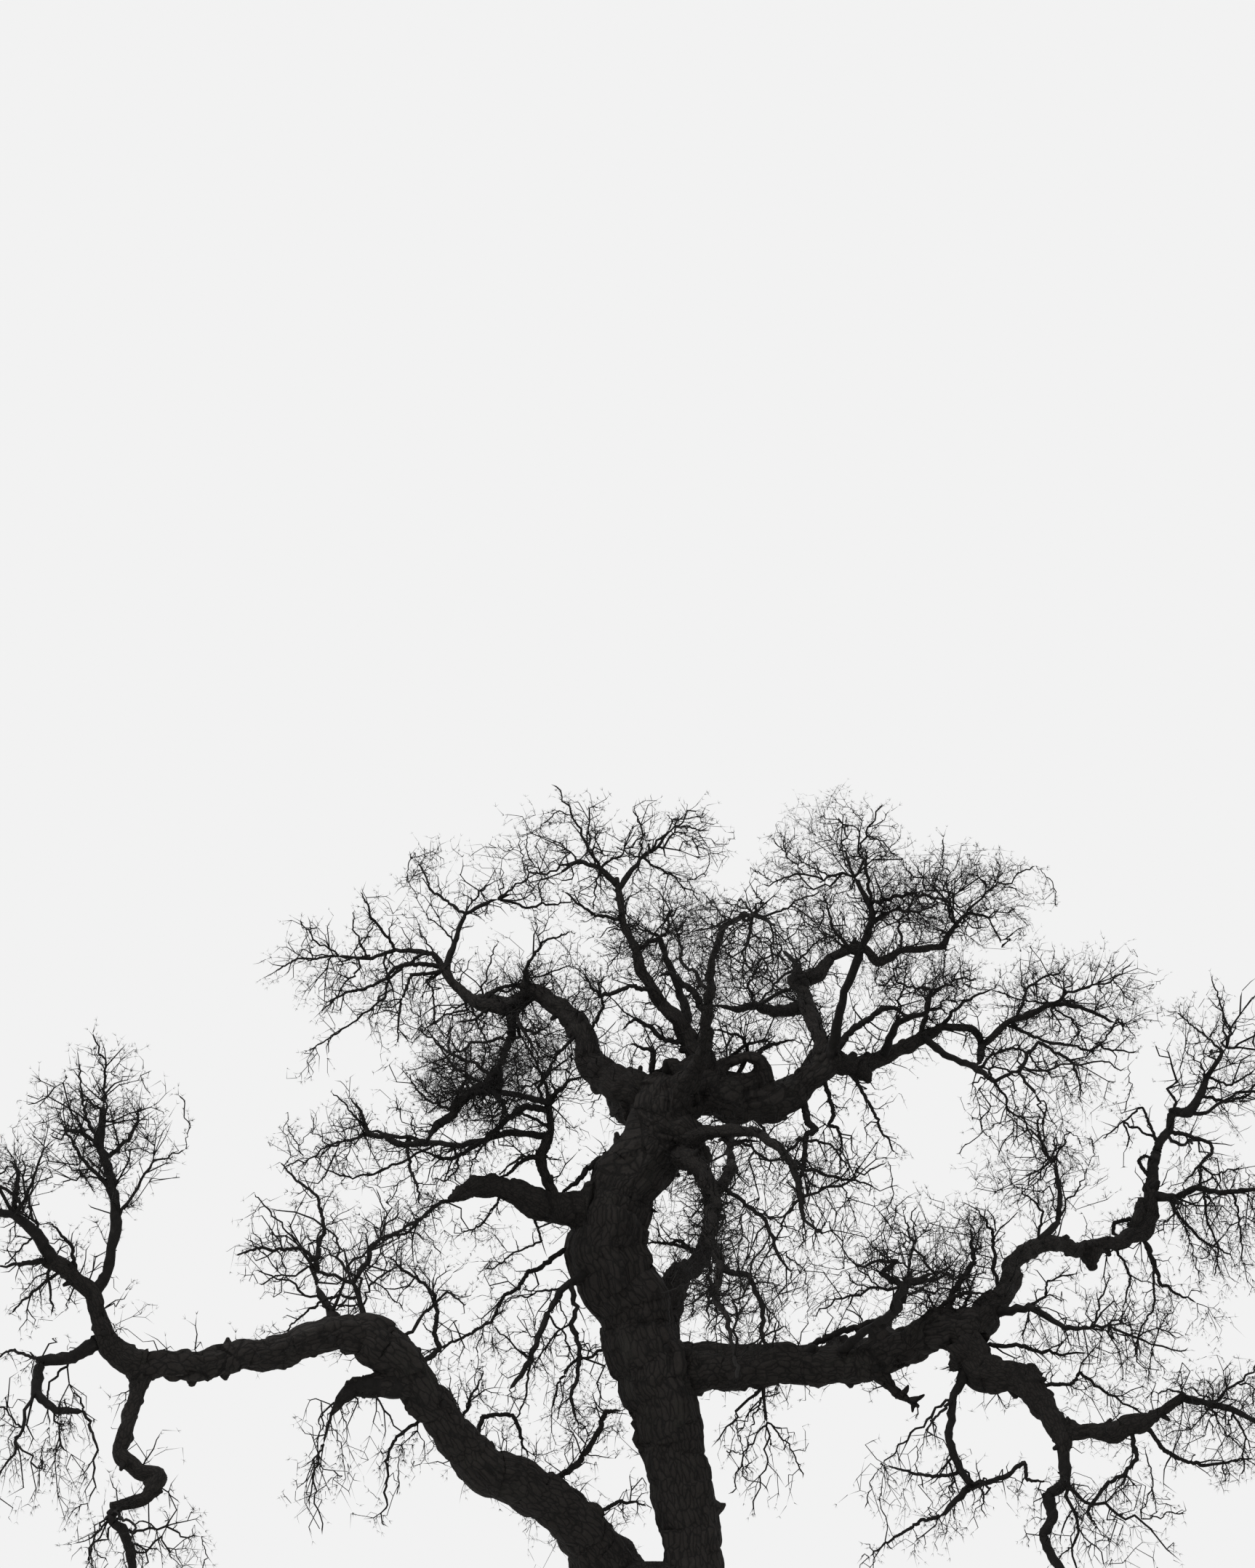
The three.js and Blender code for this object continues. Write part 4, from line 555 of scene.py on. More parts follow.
    [0.07, 0.03, -0.4, 0, 2, [[2.76, 8.4], [2.4, 8.8], [2.3, 9.3]]],
    [0.06, 0.03, 0.4, 0, 4, [[3.35, 8.5], [3.3, 8.9], [3.6, 9.3]]],
    [0.05, 0.03, -0.3, 0, 4, [[2.93, 8.85], [3.25, 9.05], [3.55, 9.02], [3.8, 9.1]]],
    [0.1, 0.05, -0.2, 0, 6, [[3.6, 7.3], [3.68, 7.6], [3.72, 7.85], [3.95, 8]]],
    [0.12, 0.1, -0.6, 0, 1.5, [[4.45, 7.2], [4.43, 7.05], [4.38, 6.88]]],
    [0.05, 0.02, 0.2, 0.1, 1.4, [[4.45, 6.9], [4.58, 7.05], [4.86, 7.15], [5.09, 7.09], [5.2, 6.9],
        [5.4, 6.8]]],
    [0.07, 0.03, 0.3, 0.2, 1.4, [[4.98, 6.85], [5.23, 7.23], [5.72, 6.93], [5.82, 6.58]]],
    [0.08, 0.03, -0.4, 0, 1.6, [[3.88, 7.42], [4.2, 7.8], [4.6, 7.95]]],
    [0.06, 0.03, 0.4, 0, 1.6, [[4.9, 7.52], [5.1, 8], [5.5, 8.2]]],
    [0.06, 0.03, 0.3, 0.2, 1.6, [[4.8, 7.48], [5.3, 7.25], [6, 7.15], [6.6, 7.1]]],
    [0.12, 0.04, -0.5, 0.7, 1.2, [[2, 6.4], [2.06, 6.13], [2.17, 6.03], [2.04, 5.96], [2.02, 5.75],
        [2, 5.5], [1.94, 5.33], [1.96, 4.95], [1.99, 4.78]]],
    [0.08, 0.03, 0.3, 0.6, 1.4, [[2.29, 6.68], [2.36, 6.47], [2.42, 6.22], [2.34, 6.09], [2.48, 6.05],
        [2.53, 5.8], [2.5, 5.54]]],
    [0.07, 0.03, -0.4, 0.8, 1, [[2.63, 6.83], [2.8, 6.56], [2.97, 6.26], [3.05, 6.05], [3.27, 5.71]]],
    [0.06, 0.03, 0.4, 0.7, 1, [[1.3, 6.3], [1.5, 5.95], [1.75, 5.8]]],
    [0.06, 0.03, 0.3, 0.4, 1.2, [[1.9, 5.5], [2.44, 5.38], [2.95, 5.26]]],
    [0.05, 0.02, -0.3, 0.7, 1.4, [[2, 5.9], [2.4, 5.8], [2.6, 5.5]]],
    # between the leader and the east bough
    [0.16, 0.06, 0.4, 0.7, 1, [[0.5, 5.5], [0.72, 5.14], [0.72, 4.72], [0.75, 4.34], [0.98, 4.06],
        [1.31, 4]]],
    [0.08, 0.05, 0.1, 0.4, 1.4, [[1.25, 4.02], [1.43, 3.59], [1.43, 3.2], [1.5, 3]]],
    [0.08, 0.04, -0.4, 0.5, 1.4, [[0.7, 5.35], [0.98, 5.19], [1.45, 4.81], [1.66, 4.29], [1.83, 4.06]]],
    [0.09, 0.04, 0.3, 0.2, 2, [[0.6, 4.25], [0.3, 4.5], [0.1, 4.45]]],
    [0.06, 0.03, 0.2, 0.1, 2, [[0.55, 4.36], [0.25, 4.44], [0, 4.48], [-0.2, 4.46]]],
    [0.07, 0.04, 0.2, 0.2, 2.4, [[0.62, 5.2], [0.75, 4.7], [0.68, 4], [0.7, 3.4]]],
    [0.07, 0.04, -0.3, 0.3, 1.4, [[0.9, 5.9], [1, 5.8], [1.2, 5.88], [1.4, 5.86]]],
    # on the east bough
    [0.1, 0.09, 0, 0, 0.8, [[1.9, 2.9], [2.2, 3.12], [2.6, 3.26], [2.95, 3.38], [3.25, 3.5]]],
    [0.14, 0.05, -0.2, 0, 1.6, [[3, 3.3], [3.36, 3.68], [3.39, 3.88], [3.07, 4.05], [3.29, 4.22],
        [2.71, 4.17]]],
    [0.08, 0.05, -0.3, 0, 3.5, [[3.4, 3.9], [3.73, 3.95], [3.97, 4.02]]],
    [0.08, 0.05, -0.2, 0, 6, [[3.75, 3.4], [3.95, 3.65], [4.2, 3.78], [4.5, 3.78]]],
    [0.06, 0.04, 0.2, 0, 5, [[4.1, 3.45], [4.3, 3.8], [4.22, 4]]],
    [0.14, 0.06, 0.4, 0, 2.2, [[3.95, 3.3], [4.05, 3.8], [4.35, 4.2], [4.3, 4.7]]],
    [0.06, 0.03, 0.3, 0.3, 1.2, [[5.4, 5.6], [5.23, 5.96], [5.23, 6.25]]],
    [0.07, 0.03, -0.3, 0.3, 1.4, [[4.7, 3.8], [4.6, 4.41], [4.6, 4.65], [4.36, 4.94]]],
    [0.07, 0.04, -0.5, 0.3, 1.4, [[4.5, 3.05], [5.04, 3.05], [5.28, 2.96], [5.9, 2.95]]],
    [0.06, 0.03, 0.3, 0.3, 2, [[5.1, 2.55], [5.67, 2.52], [5.81, 2.69], [6.2, 2.38], [6.68, 2.13]]],
    [0.05, 0.02, 0.3, 0.1, 1, [[7.75, 7.1], [7.46, 7.37], [7.13, 7.64]]],
    [0.07, 0.04, -0.3, 0.3, 1, [[7.02, 6], [7.22, 5.97], [7.39, 5.91], [7.6, 5.84], [7.62, 5.71],
        [7.52, 5.63], [7.45, 5.54], [7.23, 5.3]]],
    [0.04, 0.02, 0.2, 0.4, 1, [[7.46, 5.54], [7.62, 5.4], [7.75, 5.2]]],
    [0.08, 0.04, -0.4, 0.7, 2, [[6.65, 4.6], [6.83, 4.17], [6.93, 3.88], [7.41, 3.64]]],
    [0.05, 0.02, 0.2, 0.7, 0.8, [[6.7, 4.45], [6.82, 4.1], [6.81, 3.61], [6.63, 3.25], [6.54, 2.89]]],
    [0.05, 0.02, -0.2, 0.3, 1.2, [[5.1, 3.6], [5.33, 3.75], [5.36, 3.95], [5.75, 4.05]]],
    [0.07, 0.05, 0, 0, 0.2, [[6.62, 4.83], [6.42, 4.78], [6.27, 4.74], [6.26, 4.6], [6.34, 4.57]]],
    [0.06, 0.05, 0, 0, 0.3, [[6.78, 5.36], [6.66, 5.5], [6.61, 5.6], [6.7, 5.67], [6.8, 5.62]]],
    [0.06, 0.02, -0.3, 0, 0.3, [[6.86, 5.85], [6.76, 6.1], [6.66, 6.33], [6.42, 6.15], [6.12, 5.9]]],
    [0.04, 0.02, 0.1, 0.3, 0.3, [[6.4, 6.13], [6.48, 5.93], [6.45, 5.78]]],
    [0.07, 0.04, -0.4, 0.7, 1.3, [[6.5, 1.9], [6.59, 1.5], [6.15, 1.12], [5.91, 0.78], [6.03, 0.58]]],
    [0.07, 0.04, 0.4, 0.4, 1.2, [[6.7, 2], [6.93, 1.65], [7.17, 1.5], [7.46, 1.41], [8.2, 1.5]]],
    [0.06, 0.03, 0.3, 0.7, 1, [[3.87, 0.72], [3.58, 0.61], [3.29, 0.44], [2.9, 0.15]]],
    [0.08, 0.04, -0.3, 0.4, 1, [[4.3, 1.12], [4.79, 1.26], [5.04, 1.45], [5.08, 1.21], [5.33, 1.19]]],
    [0.06, 0.03, 0.3, 0.4, 1, [[4.1, 1.3], [3.87, 1.26], [3.48, 1.31], [3.15, 1.41]]],
    [0.06, 0.03, 0.3, 0.2, 2, [[7.45, 6.5], [7.8, 6.4], [8.1, 6.5], [8.3, 6.8]]],
    [0.05, 0.03, -0.3, 0.2, 2, [[7.55, 6.75], [7.9, 6.65], [8.2, 6.85]]],
    [0.05, 0.02, 0.1, 0.8, 1.5, [[7.5, 5.2], [7.55, 4.8], [7.7, 4.4], [7.65, 4]]],
    [0.05, 0.02, -0.2, 0.8, 1.5, [[7.9, 5.15], [8, 4.7], [8.05, 4.2]]],
    [0.06, 0.03, 0.3, 0.6, 1.2, [[7.1, 4.9], [7.5, 4.5], [7.9, 4.3]]],
    [0.05, 0.03, -0.3, 0.6, 1.2, [[6.3, 4.4], [6.5, 4], [6.4, 3.6]]],
    [0.05, 0.03, -0.3, 0.6, 1.2, [[5.2, 4.4], [5.3, 4.9], [5, 5.2]]],
]

# Twig rule, first order: the same twigs as the solids have
TWIGS_PER_MASS = 8
TWIG_STEP = 0.5  # metres of stem between two places a twig may leave it
TWIG_LONG = 1.5  # a twig longer than this has a third bend
TWIG_TIP = 0.009  # radius at a twig's end
TWIG_THICKENS = 0.011  # radius gained with each metre of length
TWIG_SHARE = 0.62  # most that a twig's foot may take of its parent's radius
BOW = 0.3  # how far a twig swings on along its parent before it turns to its goal
ARCH = 0.5  # how far a weeping twig rises before it falls
CROOK = 0.2  # sideways throw of a bend, as a share of the step
OUTER_SKIN = 0.8  # twigs reach for the part of their space from this share of its radius outwards
SPACE_SKIN = 1.06  # how far out of its space's ellipsoid a twig may swing
DETOUR_COST = 0.3  # how much the way back to the trunk counts against a place to branch
TURN_COST = 0.35  # and how much a turn away from the wood's own way does
TWIG_CLEARANCE = 0.025  # a twig passes at least this far from a limb's bark
PLASTIC = 1.2207440846057596  # its powers spread places evenly in three dimensions

# Finer orders. reach: how far one grows, in metres; tip: its end radius; thickens: radius gained for each
# metre; bends: rounds of crook; throw: how far a bend is thrown, as a share of its reach; sides: facets;
# rounds: how many times the order grows, each time from all the wood so far
ARM = {
    "reach": (0.4, 0.95), "tip": 0.009, "thickens": 0.017, "bends": 2, "throw": 0.16, "sides": 4,
    "rounds": 1,
}
BRANCHLET = {
    "reach": (0.25, 0.6), "tip": 0.006, "thickens": 0.016, "bends": 1, "throw": 0.17, "sides": 3,
    "rounds": 2,
}
TWIG = {
    "reach": (0.12, 0.36), "tip": 0.0055, "thickens": 0.015, "bends": 0, "throw": 0.15, "sides": 3,
    "rounds": 3,
}
LONGEST = 1.4  # no twig is longer than this many times its order's longest reach
FINER = 0.75  # a twig is at most this much of the thickness that bears it
FINE_BOW = 0.45  # as BOW and ARCH, for the finer orders
FINE_ARCH = 0.7
LIFT = 0.06  # metres that the spots around the wood lie above it, and below it where twigs hang
DROP = 0.22
TWIGLET = {"length": (0.05, 0.2), "radius": 0.005}
SPUR = {"length": (0.03, 0.08), "radius": 0.006}
SPURS_IN_TUFT = 4
SPROUT_FOLLOWS = 0.7  # how far twiglets and spurs keep to the way of the wood that bears them
SPROUT_RISES = 0.25
SPROUT_DROPS = 0.8
SPROUT_SHARE = 0.85
SPROUT_TAPER = (1, 0.6)
OFF_AXIS = (0.31, 0.52, 0.79)  # a way that no twig quite follows

# Counts of arms, branchlets, twigs, twiglets and tufts: in a mass, and on each metre of a side branch
# or bough
IN_MASS = (10, 42, 220, 500, 190)
ON_SIDE_BRANCH = (0, 4, 15, 33, 14)
ON_BOUGH = (0, 4, 15, 32, 14)
BOUGH_HANGS = 0.2

# Where the finer twigs stand
CLUMP = 0.3  # metres from one clump of fine twigs to the next
CLUMPING = 0.8  # how strongly fine twigs gather in clumps
CLUMP_SEED = 5
THIN_WOOD = 0.012  # wood of a larger radius than this bears fewer of them
TUFTS_AT_ENDS = 6  # how many times likelier a tuft is at a twig's end than along it
OUTWARD = 0.36  # 1/3 spreads a mass's twigs evenly, less sets more of them near its skin
TRIES = 6  # spots tried for each that is kept
RAGGED = (0.86, 0.36, 2.6)  # a mass's skin: its mean reach, how far it strays, and its lumps to a radius
SKY_GAP = 0.45  # metres from one thin place in a mass to the next
SKY_FROM, SKY_TO = -1, 0.3  # noise under which a mass has no twigs, and over which it has all of them
SKY_SEED = 50
BOX_SKIN = 0.08  # how far twigs may pass the solids' box

# Stems, side branches, shoots and broken stubs. throw: how far a bend is thrown; sides: facets
SLENDER = ([0.02, 0.045], [0.6, 1])  # thin stems are drawn this much finer than the solids' own
STEM = {"bends": 1, "throw": 0.07, "sides": 8}
FIRST_TWIG = {"bends": 2, "throw": 0.12, "sides": 5}
SIDE_BRANCH = {"bends": 2, "throw": 0.1, "sides": 8}
SHOOT = {"bends": 1, "throw": 0.16, "sides": 4}
STEM_STEPS = 3  # steps from one sighted place of a stem to the next
CARRIER_STEPS = 6  # the same, for the places that a side branch may start from
STEM_CURVE = 1 / 3  # how far a stem keeps to its curve, and not to its straight reaches
FIRST_TWIG_PLACES = 5
UNEVEN = 0.12  # how much a branch's thickness varies
LEAST_RADIUS = 0.006
SIDE_TIP = 0.02  # thickness of a side branch's last place
MIDDLE = 1.6  # side branches that start further east or west than this are joined by side
SIDE_SEED = 1
SHOOTS_A_METRE = 6
SHOOT_LENGTH = (0.1, 0.45)
SHOOT_FOOT = 0.7  # how far out a shoot starts, as a share of the bough's radius
SHOOT_LEANS = 0.3
SHOOT_RISES = 0.25
SHOOT_RADIUS = 0.006
SHOOT_THICKENS = 0.012
SHOOT_SHARE = 0.5  # most that a shoot's foot may take of the bough's radius
SHOOT_TAPER = 0.55
SHOOT_SEED = 500
STUBS_A_METRE = 1.5
STUB_LENGTH = (0.02, 0.09)
STUB_LEANS = 0.5
STUB_RADIUS = (0.012, 0.045)
STUB_SHARE = 0.3
STUB_VARIES = (0.5, 1)
STUB_PROFILE = [(0, 2.4), (0.5, 2.2), (0.95, 1.2), (1, 0.8)]  # places along a stub, and thickness there
STUB_SIDES = 7

# Limbs, in metres or as shares of the limb's radius
RING_SPACING = 0.05
FACET = 0.042  # width of a limb's facets before they are split
FACETS = (9, 72)
COLLAR = ([0.105, 0.455], [0.25, 0])  # how much boughs of two radii swell where they leave their parent
COLLAR_LENGTH = 0.9
ANGULAR = ([0.1, 0.35], [0.95, 0.5])  # how near limbs of two radii keep to straight reaches
EASING = 0.55  # a limb's corners are eased over about this many of its radii
WANDER = ([0.08, 0.35], [0.35, 0.08])  # how far limbs of two radii stray, as shares of those radii
WANDER_LEAST = 0.012
WANDER_FADES = 0.4  # metres from a limb's end
WANDER_BENDS = [(0.5, 1), (0.24, 0.6), (0.11, 0.3)]  # metres from bend to bend, and share of the wander
DOME = 0.5  # height of a limb's rounded end
DOME_TURNS = (25, 50, 70, 84)  # degrees round the dome of its rings
END_CAP = 0.3  # nearer the middle line than this, the bark has no relief
LEAST_GIRTH = 0.02  # least radius that a bough's pattern is drawn for, in metres
THICK_BOUGH = 0.2  # mean radius past which a bough has the trunk's bark
TRUNK_RINGS = 56
TRUNK_FACETS = 110
TRUNK_CORE = 0.35  # metres from its middle, within which the trunk's top has no relief
TRUNK_GIRTH = 0.3  # least radius that the trunk's pattern is drawn for, in metres
FOOT_CUT = 0.002  # height up to which the foot stays flat, in metres
TRUNK_SEED = 90

# Bark relief. A pair of sizes is the width of the lumps round the limb and their length along it.
SWELLS_ROUND = 1.1  # slow swellings to a radius round the limb, and the slighter knuckles between them
KNUCKLES_ROUND = 2.4
KNUCKLE_SHARE = 0.6
KNUCKLE_START = 7
SWELL_LENGTH = (1.6, 0.1)  # how many radii long the swellings are, and how many metres more
KNUCKLE_LENGTH = (0.7, 0.05)
SWELL_HEIGHT = ([0.05, 0.3], [0.14, 0.07])  # on limbs of two radii, as shares of those radii
BURL_WIDTH = (0.5, 0.05)
BURL_LENGTH = (0.6, 0.06)
BURL_FROM = 0.45  # noise over which a burl stands out
BURL_HEIGHT = 0.6  # radii for each unit of noise past that
LUMP_SIZE = (0.19, 0.23)
LUMP_HEIGHT = 0.024
KNOB_SIZE = (0.1, 0.12)
KNOB_SHARE = 0.5
FURROW_SIZE = (0.1, 0.3)
FURROW_DEPTH = 0.02
FURROW_SHARPNESS = 2.2  # the higher, the narrower the furrows
FURROW_BEND_SIZE = (0.2, 0.4)
FURROW_BEND = 0.8  # how far a furrow bends sideways, in its own widths
PLATE_SIZE = (0.075, 0.1)
PLATE_HEIGHT = 0.012
CHIP_SIZE = (0.035, 0.05)
CHIP_SHARE = 0.5
FULL_RELIEF = 0.16  # radius from which a limb has the whole relief
SINK = 0.5  # how deep the relief is set, in its own standard deviations

# Seeded chance: primes that mix whole numbers in 32 bits
BITS = 0xFFFFFFFF
CHANCE_PRIMES = (374761393, 668265263, 1274126177)
LATTICE_PRIMES = (73856093, 19349663, 83492791)
MIXES = ((15, 2246822519), (13, 3266489917))


def chance(seed, count):
    """A number from 0 to 1 for each pair of a seed and a count, the same on every run."""
    for_seed, for_count, mix = CHANCE_PRIMES
    h = (seed * for_seed + count * for_count) & BITS
    h = ((h ^ (h >> 13)) * mix) & BITS
    return ((h ^ (h >> 16)) & BITS) / (BITS + 1)


def lattice(cells, seed):
    """A number from -1 to 1 for each corner of a lattice."""
    x, y, z = (cells.astype(np.int64) & BITS).T.astype(np.uint64)
    for_x, for_y, for_z = np.array(LATTICE_PRIMES, np.uint64)
    h = (x * for_x) ^ (y * for_y) ^ (z * (for_z + np.uint64(2 * seed)))
    for shift, prime in MIXES:
        h = (h ^ (h >> np.uint64(shift))) * np.uint64(prime) & np.uint64(BITS)
    return (h ^ (h >> np.uint64(16))).astype(float) * 2 / (BITS + 1) - 1


def noise(p, seed):
    """Smooth lumps of about 1 unit, from -1 to 1, at each point."""
    cell = np.floor(p)
    t = p - cell
    t = t * t * (3 - 2 * t)
    total = np.zeros(len(p))
    for corner in itertools.product((0, 1), repeat=3):
        share = np.prod(np.where(corner, t, 1 - t), axis=1)
        total += share * lattice(cell + corner, seed)
    return total


def unit(v):
    """Each vector at length 1."""
    return v / np.maximum(np.linalg.norm(v, axis=-1, keepdims=True), 1e-9)


def sighted(places):
    """Sighted places in the tree's own frame."""
    across, up, behind = np.moveaxis(np.asarray(places, float)[..., :3], -1, 0)
    rise = up - SIGHT_AXIS_ABOVE_CROTCH
    ahead = STANDING_DISTANCE * math.cos(SIGHT_PITCH) - rise * math.sin(SIGHT_PITCH)
    climb = STANDING_DISTANCE * math.sin(SIGHT_PITCH) + rise * math.cos(SIGHT_PITCH)
    share = (STANDING_DISTANCE + behind) / ahead
    x = (across + EYE_WEST_OF_TRUNK) * share - EYE_WEST_OF_TRUNK
    return np.stack([x, behind, EYE_HEIGHT + climb * share], -1)


def seen(points):
    """Where points of the tree show on the sighting plane: [across, up]."""
    gap = points - np.array([-EYE_WEST_OF_TRUNK, -STANDING_DISTANCE, EYE_HEIGHT])
    level, tilt = math.cos(SIGHT_PITCH), math.sin(SIGHT_PITCH)
    ahead = gap[..., 1] * level + gap[..., 2] * tilt
    rise = gap[..., 2] * level - gap[..., 1] * tilt
    return np.stack([STANDING_DISTANCE * gap[..., 0] / ahead - EYE_WEST_OF_TRUNK,
                     STANDING_DISTANCE * rise / ahead + SIGHT_AXIS_ABOVE_CROTCH], -1)


def nearness(behind):
    """How much larger a thing is than it looks at the trunk's distance."""
    return (STANDING_DISTANCE + behind) / STANDING_DISTANCE


def line(route):
    """A route's middle line and radii at its sighted places."""
    route = np.asarray(route, float)
    return sighted(route), route[:, 3] * nearness(route[:, 2]) / 2


def curved(points, values, per_reach):
    """A line carried through its points by a centripetal curve, with its values between them."""
    ends = np.vstack([2 * points[0] - points[1], points, 2 * points[-1] - points[-2]])
    span = np.maximum(np.linalg.norm(np.diff(ends, axis=0), axis=1) ** 0.5, 1e-4)
    s = np.arange(per_reach)[:, None] / per_reach
    out = []
    for i in range(1, len(ends) - 2):
        a, b, c, d = ends[i - 1 : i + 3]
        before, here, after = span[i - 1 : i + 2]
        leave = ((b - a) / before - (c - a) / (before + here)) * here + (c - b)
        arrive = (c - b) - ((d - b) / (here + after) - (d - c) / after) * here
        out.append(
            b * (2 * s**3 - 3 * s**2 + 1) + leave * (s**3 - 2 * s**2 + s)
            + c * (3 * s**2 - 2 * s**3) + arrive * (s**3 - s**2)
        )
    place = np.append(np.arange((len(points) - 1) * per_reach) / per_reach, len(points) - 1)
    return np.vstack([*out, points[-1:]]), np.interp(place, np.arange(len(points)), values)


def distance_along(points):
    """How far each point of a line lies along it."""
    return np.concatenate([[0], np.cumsum(np.linalg.norm(np.diff(points, axis=0), axis=1))])


def spread_at(values, along, at):
    """The vectors of a line at distances along it."""
    return np.column_stack([np.interp(at, along, v) for v in values.T])


def spread(values, size):
    """A list of values brought to a set count, evenly."""
    at = np.linspace(0, len(values) - 1, size)
    if values.ndim == 1:
        return np.interp(at, range(len(values)), values)
    return spread_at(values, range(len(values)), at)


def bark_distance(points, lines):
    """How far each point is from the nearest bark: under 0 inside the wood."""
    a = np.vstack([p[:-1] for p, _ in lines])
    reach = np.vstack([p[1:] for p, _ in lines]) - a
    ra = np.concatenate([r[:-1] for _, r in lines])
    rb = np.concatenate([r[1:] for _, r in lines])
    gap = np.asarray(points)[:, None] - a
    t = np.clip((gap * reach).sum(-1) / (reach * reach).sum(-1), 0, 1)
    away = np.linalg.norm(gap - reach * t[..., None], axis=-1)
    return (away - ra - (rb - ra) * t).min(1)


# Middle lines of the trunk and boughs
trunk_height, trunk_wide, trunk_deep = np.array(TRUNK_SECTIONS, float).T
trunk_lean = sighted([TRUNK_TOP_ACROSS, 0, 0])[0] / trunk_height[-1]
trunk_line = np.column_stack([trunk_lean * trunk_height, 0 * trunk_height, trunk_height])
limb_lines = {"trunk": [(trunk_line, trunk_wide)]}
for name, route in BOUGHS.items():
    limb_lines[name] = [line(route)] + ([line(FUSED[name])] if name in FUSED else [])
all_lines = [part for parts in limb_lines.values() for part in parts]


# Materials
MM_IN_METRE = 1000


def linear(hex_colour):
    """An sRGB hex colour as the linear colour that shaders take."""
    parts = [int(hex_colour[i : i + 2], 16) / 255 for i in (0, 2, 4)]
    return (*((c / 12.92 if c <= 0.04045 else ((c + 0.055) / 1.055) ** 2.4) for c in parts), 1.0)


def add_node(tree, kind, settings=(), inputs=(), stops=()):
    """A node with its settings, its inputs set or linked, and any colour stops as (place, hex colour)."""
    node = tree.nodes.new(kind)
    for key, value in dict(settings).items():
        setattr(node, key, value)
    for key, value in dict(inputs).items():
        if isinstance(value, bpy.types.NodeSocket):
            tree.links.new(value, node.inputs[key])
        else:
            node.inputs[key].default_value = value
    for place, _ in stops[2:]:
        node.color_ramp.elements.new(place)
    for k, (place, colour) in enumerate(stops):
        node.color_ramp.elements[k].position = place
        node.color_ramp.elements[k].color = linear(colour)
    return node


def matt_material(name, roughness, specular):
    """A new material that takes light softly, and its shader."""
    material = bpy.data.materials.new(name)
    material.use_nodes = True
    shader = material.node_tree.nodes["Principled BSDF"]
    shader.inputs["Roughness"].default_value = roughness
    shader.inputs["Specular IOR Level"].default_value = specular
    return material, shader


def bark_material(name, plate_mm, plate, crack, lichen, relief_m):
    """Old oak bark, split by growth: dry, dull plates with dark cracks between them and a thin grey-green
    bloom of lichen, so it shows no gloss."""
    material, shader = matt_material(name, 0.92, 0.2)
    tree = material.node_tree
    grain = add_node(tree, "ShaderNodeAttribute", {"attribute_name": "grain"}).outputs["Vector"]
    # plates plate_mm across and more than twice as long, in rows that bend every 250 mm
    wander = add_node(tree, "ShaderNodeTexNoise", inputs={
        "Vector": grain, "Scale": MM_IN_METRE / 250, "Detail": 3})
    bent = add_node(tree, "ShaderNodeVectorMath", {"operation": "MULTIPLY_ADD"},
                    {0: wander.outputs["Color"], 1: (0.12, 0.12, 0.2), 2: grain})
    across = MM_IN_METRE / plate_mm
    cells = add_node(tree, "ShaderNodeMapping", inputs={
        "Vector": bent.outputs["Vector"], "Scale": (across, across, across * 0.42)})
    plates = add_node(tree, "ShaderNodeTexVoronoi", {"feature": "DISTANCE_TO_EDGE"},
                      {"Vector": cells.outputs["Vector"], "Scale": 1.0})
    raised = add_node(tree, "ShaderNodeMapRange", inputs={
        "Value": plates.outputs["Distance"], "From Min": 0.0, "From Max": 0.25})
    # the grit of bark is 2 to 5 mm, too fine to show, so it is drawn at 26 mm
    grit = add_node(tree, "ShaderNodeTexNoise", inputs={
        "Vector": grain, "Scale": MM_IN_METRE / 26, "Detail": 6, "Roughness": 0.7})
    # patches of lichen about 520 mm apart
    bloom = add_node(tree, "ShaderNodeTexNoise", inputs={
        "Vector": grain, "Scale": MM_IN_METRE / 520, "Detail": 6, "Roughness": 0.65})
    wood = add_node(tree, "ShaderNodeValToRGB", inputs={"Fac": raised.outputs["Result"]},
                    stops=[(0.0, crack), (0.6, plate)])
    dust = add_node(tree, "ShaderNodeValToRGB", inputs={"Fac": grit.outputs["Fac"]},
                    stops=[(0.3, "7a7a7a"), (0.7, "ffffff")])
    speckled = add_node(tree, "ShaderNodeMix", {"data_type": "RGBA", "blend_type": "MULTIPLY"}, {
        "Factor": 0.6, "A": wood.outputs["Color"], "B": dust.outputs["Color"]})
    patch = add_node(tree, "ShaderNodeMapRange", inputs={
        "Value": bloom.outputs["Fac"], "From Min": 0.55, "From Max": 0.75, "To Max": 0.4})
    coloured = add_node(tree, "ShaderNodeMix", {"data_type": "RGBA"}, {
        "Factor": patch.outputs["Result"], "A": speckled.outputs["Result"], "B": linear(lichen)})
    tree.links.new(coloured.outputs["Result"], shader.inputs["Base Color"])
    height = add_node(tree, "ShaderNodeMath", {"operation": "MULTIPLY_ADD"}, {
        0: grit.outputs["Fac"], 1: 0.5, 2: raised.outputs["Result"]})
    relief = add_node(tree, "ShaderNodeBump", inputs={
        "Strength": 0.8, "Distance": relief_m, "Height": height.outputs["Value"]})
    tree.links.new(relief.outputs["Normal"], shader.inputs["Normal"])
    return material


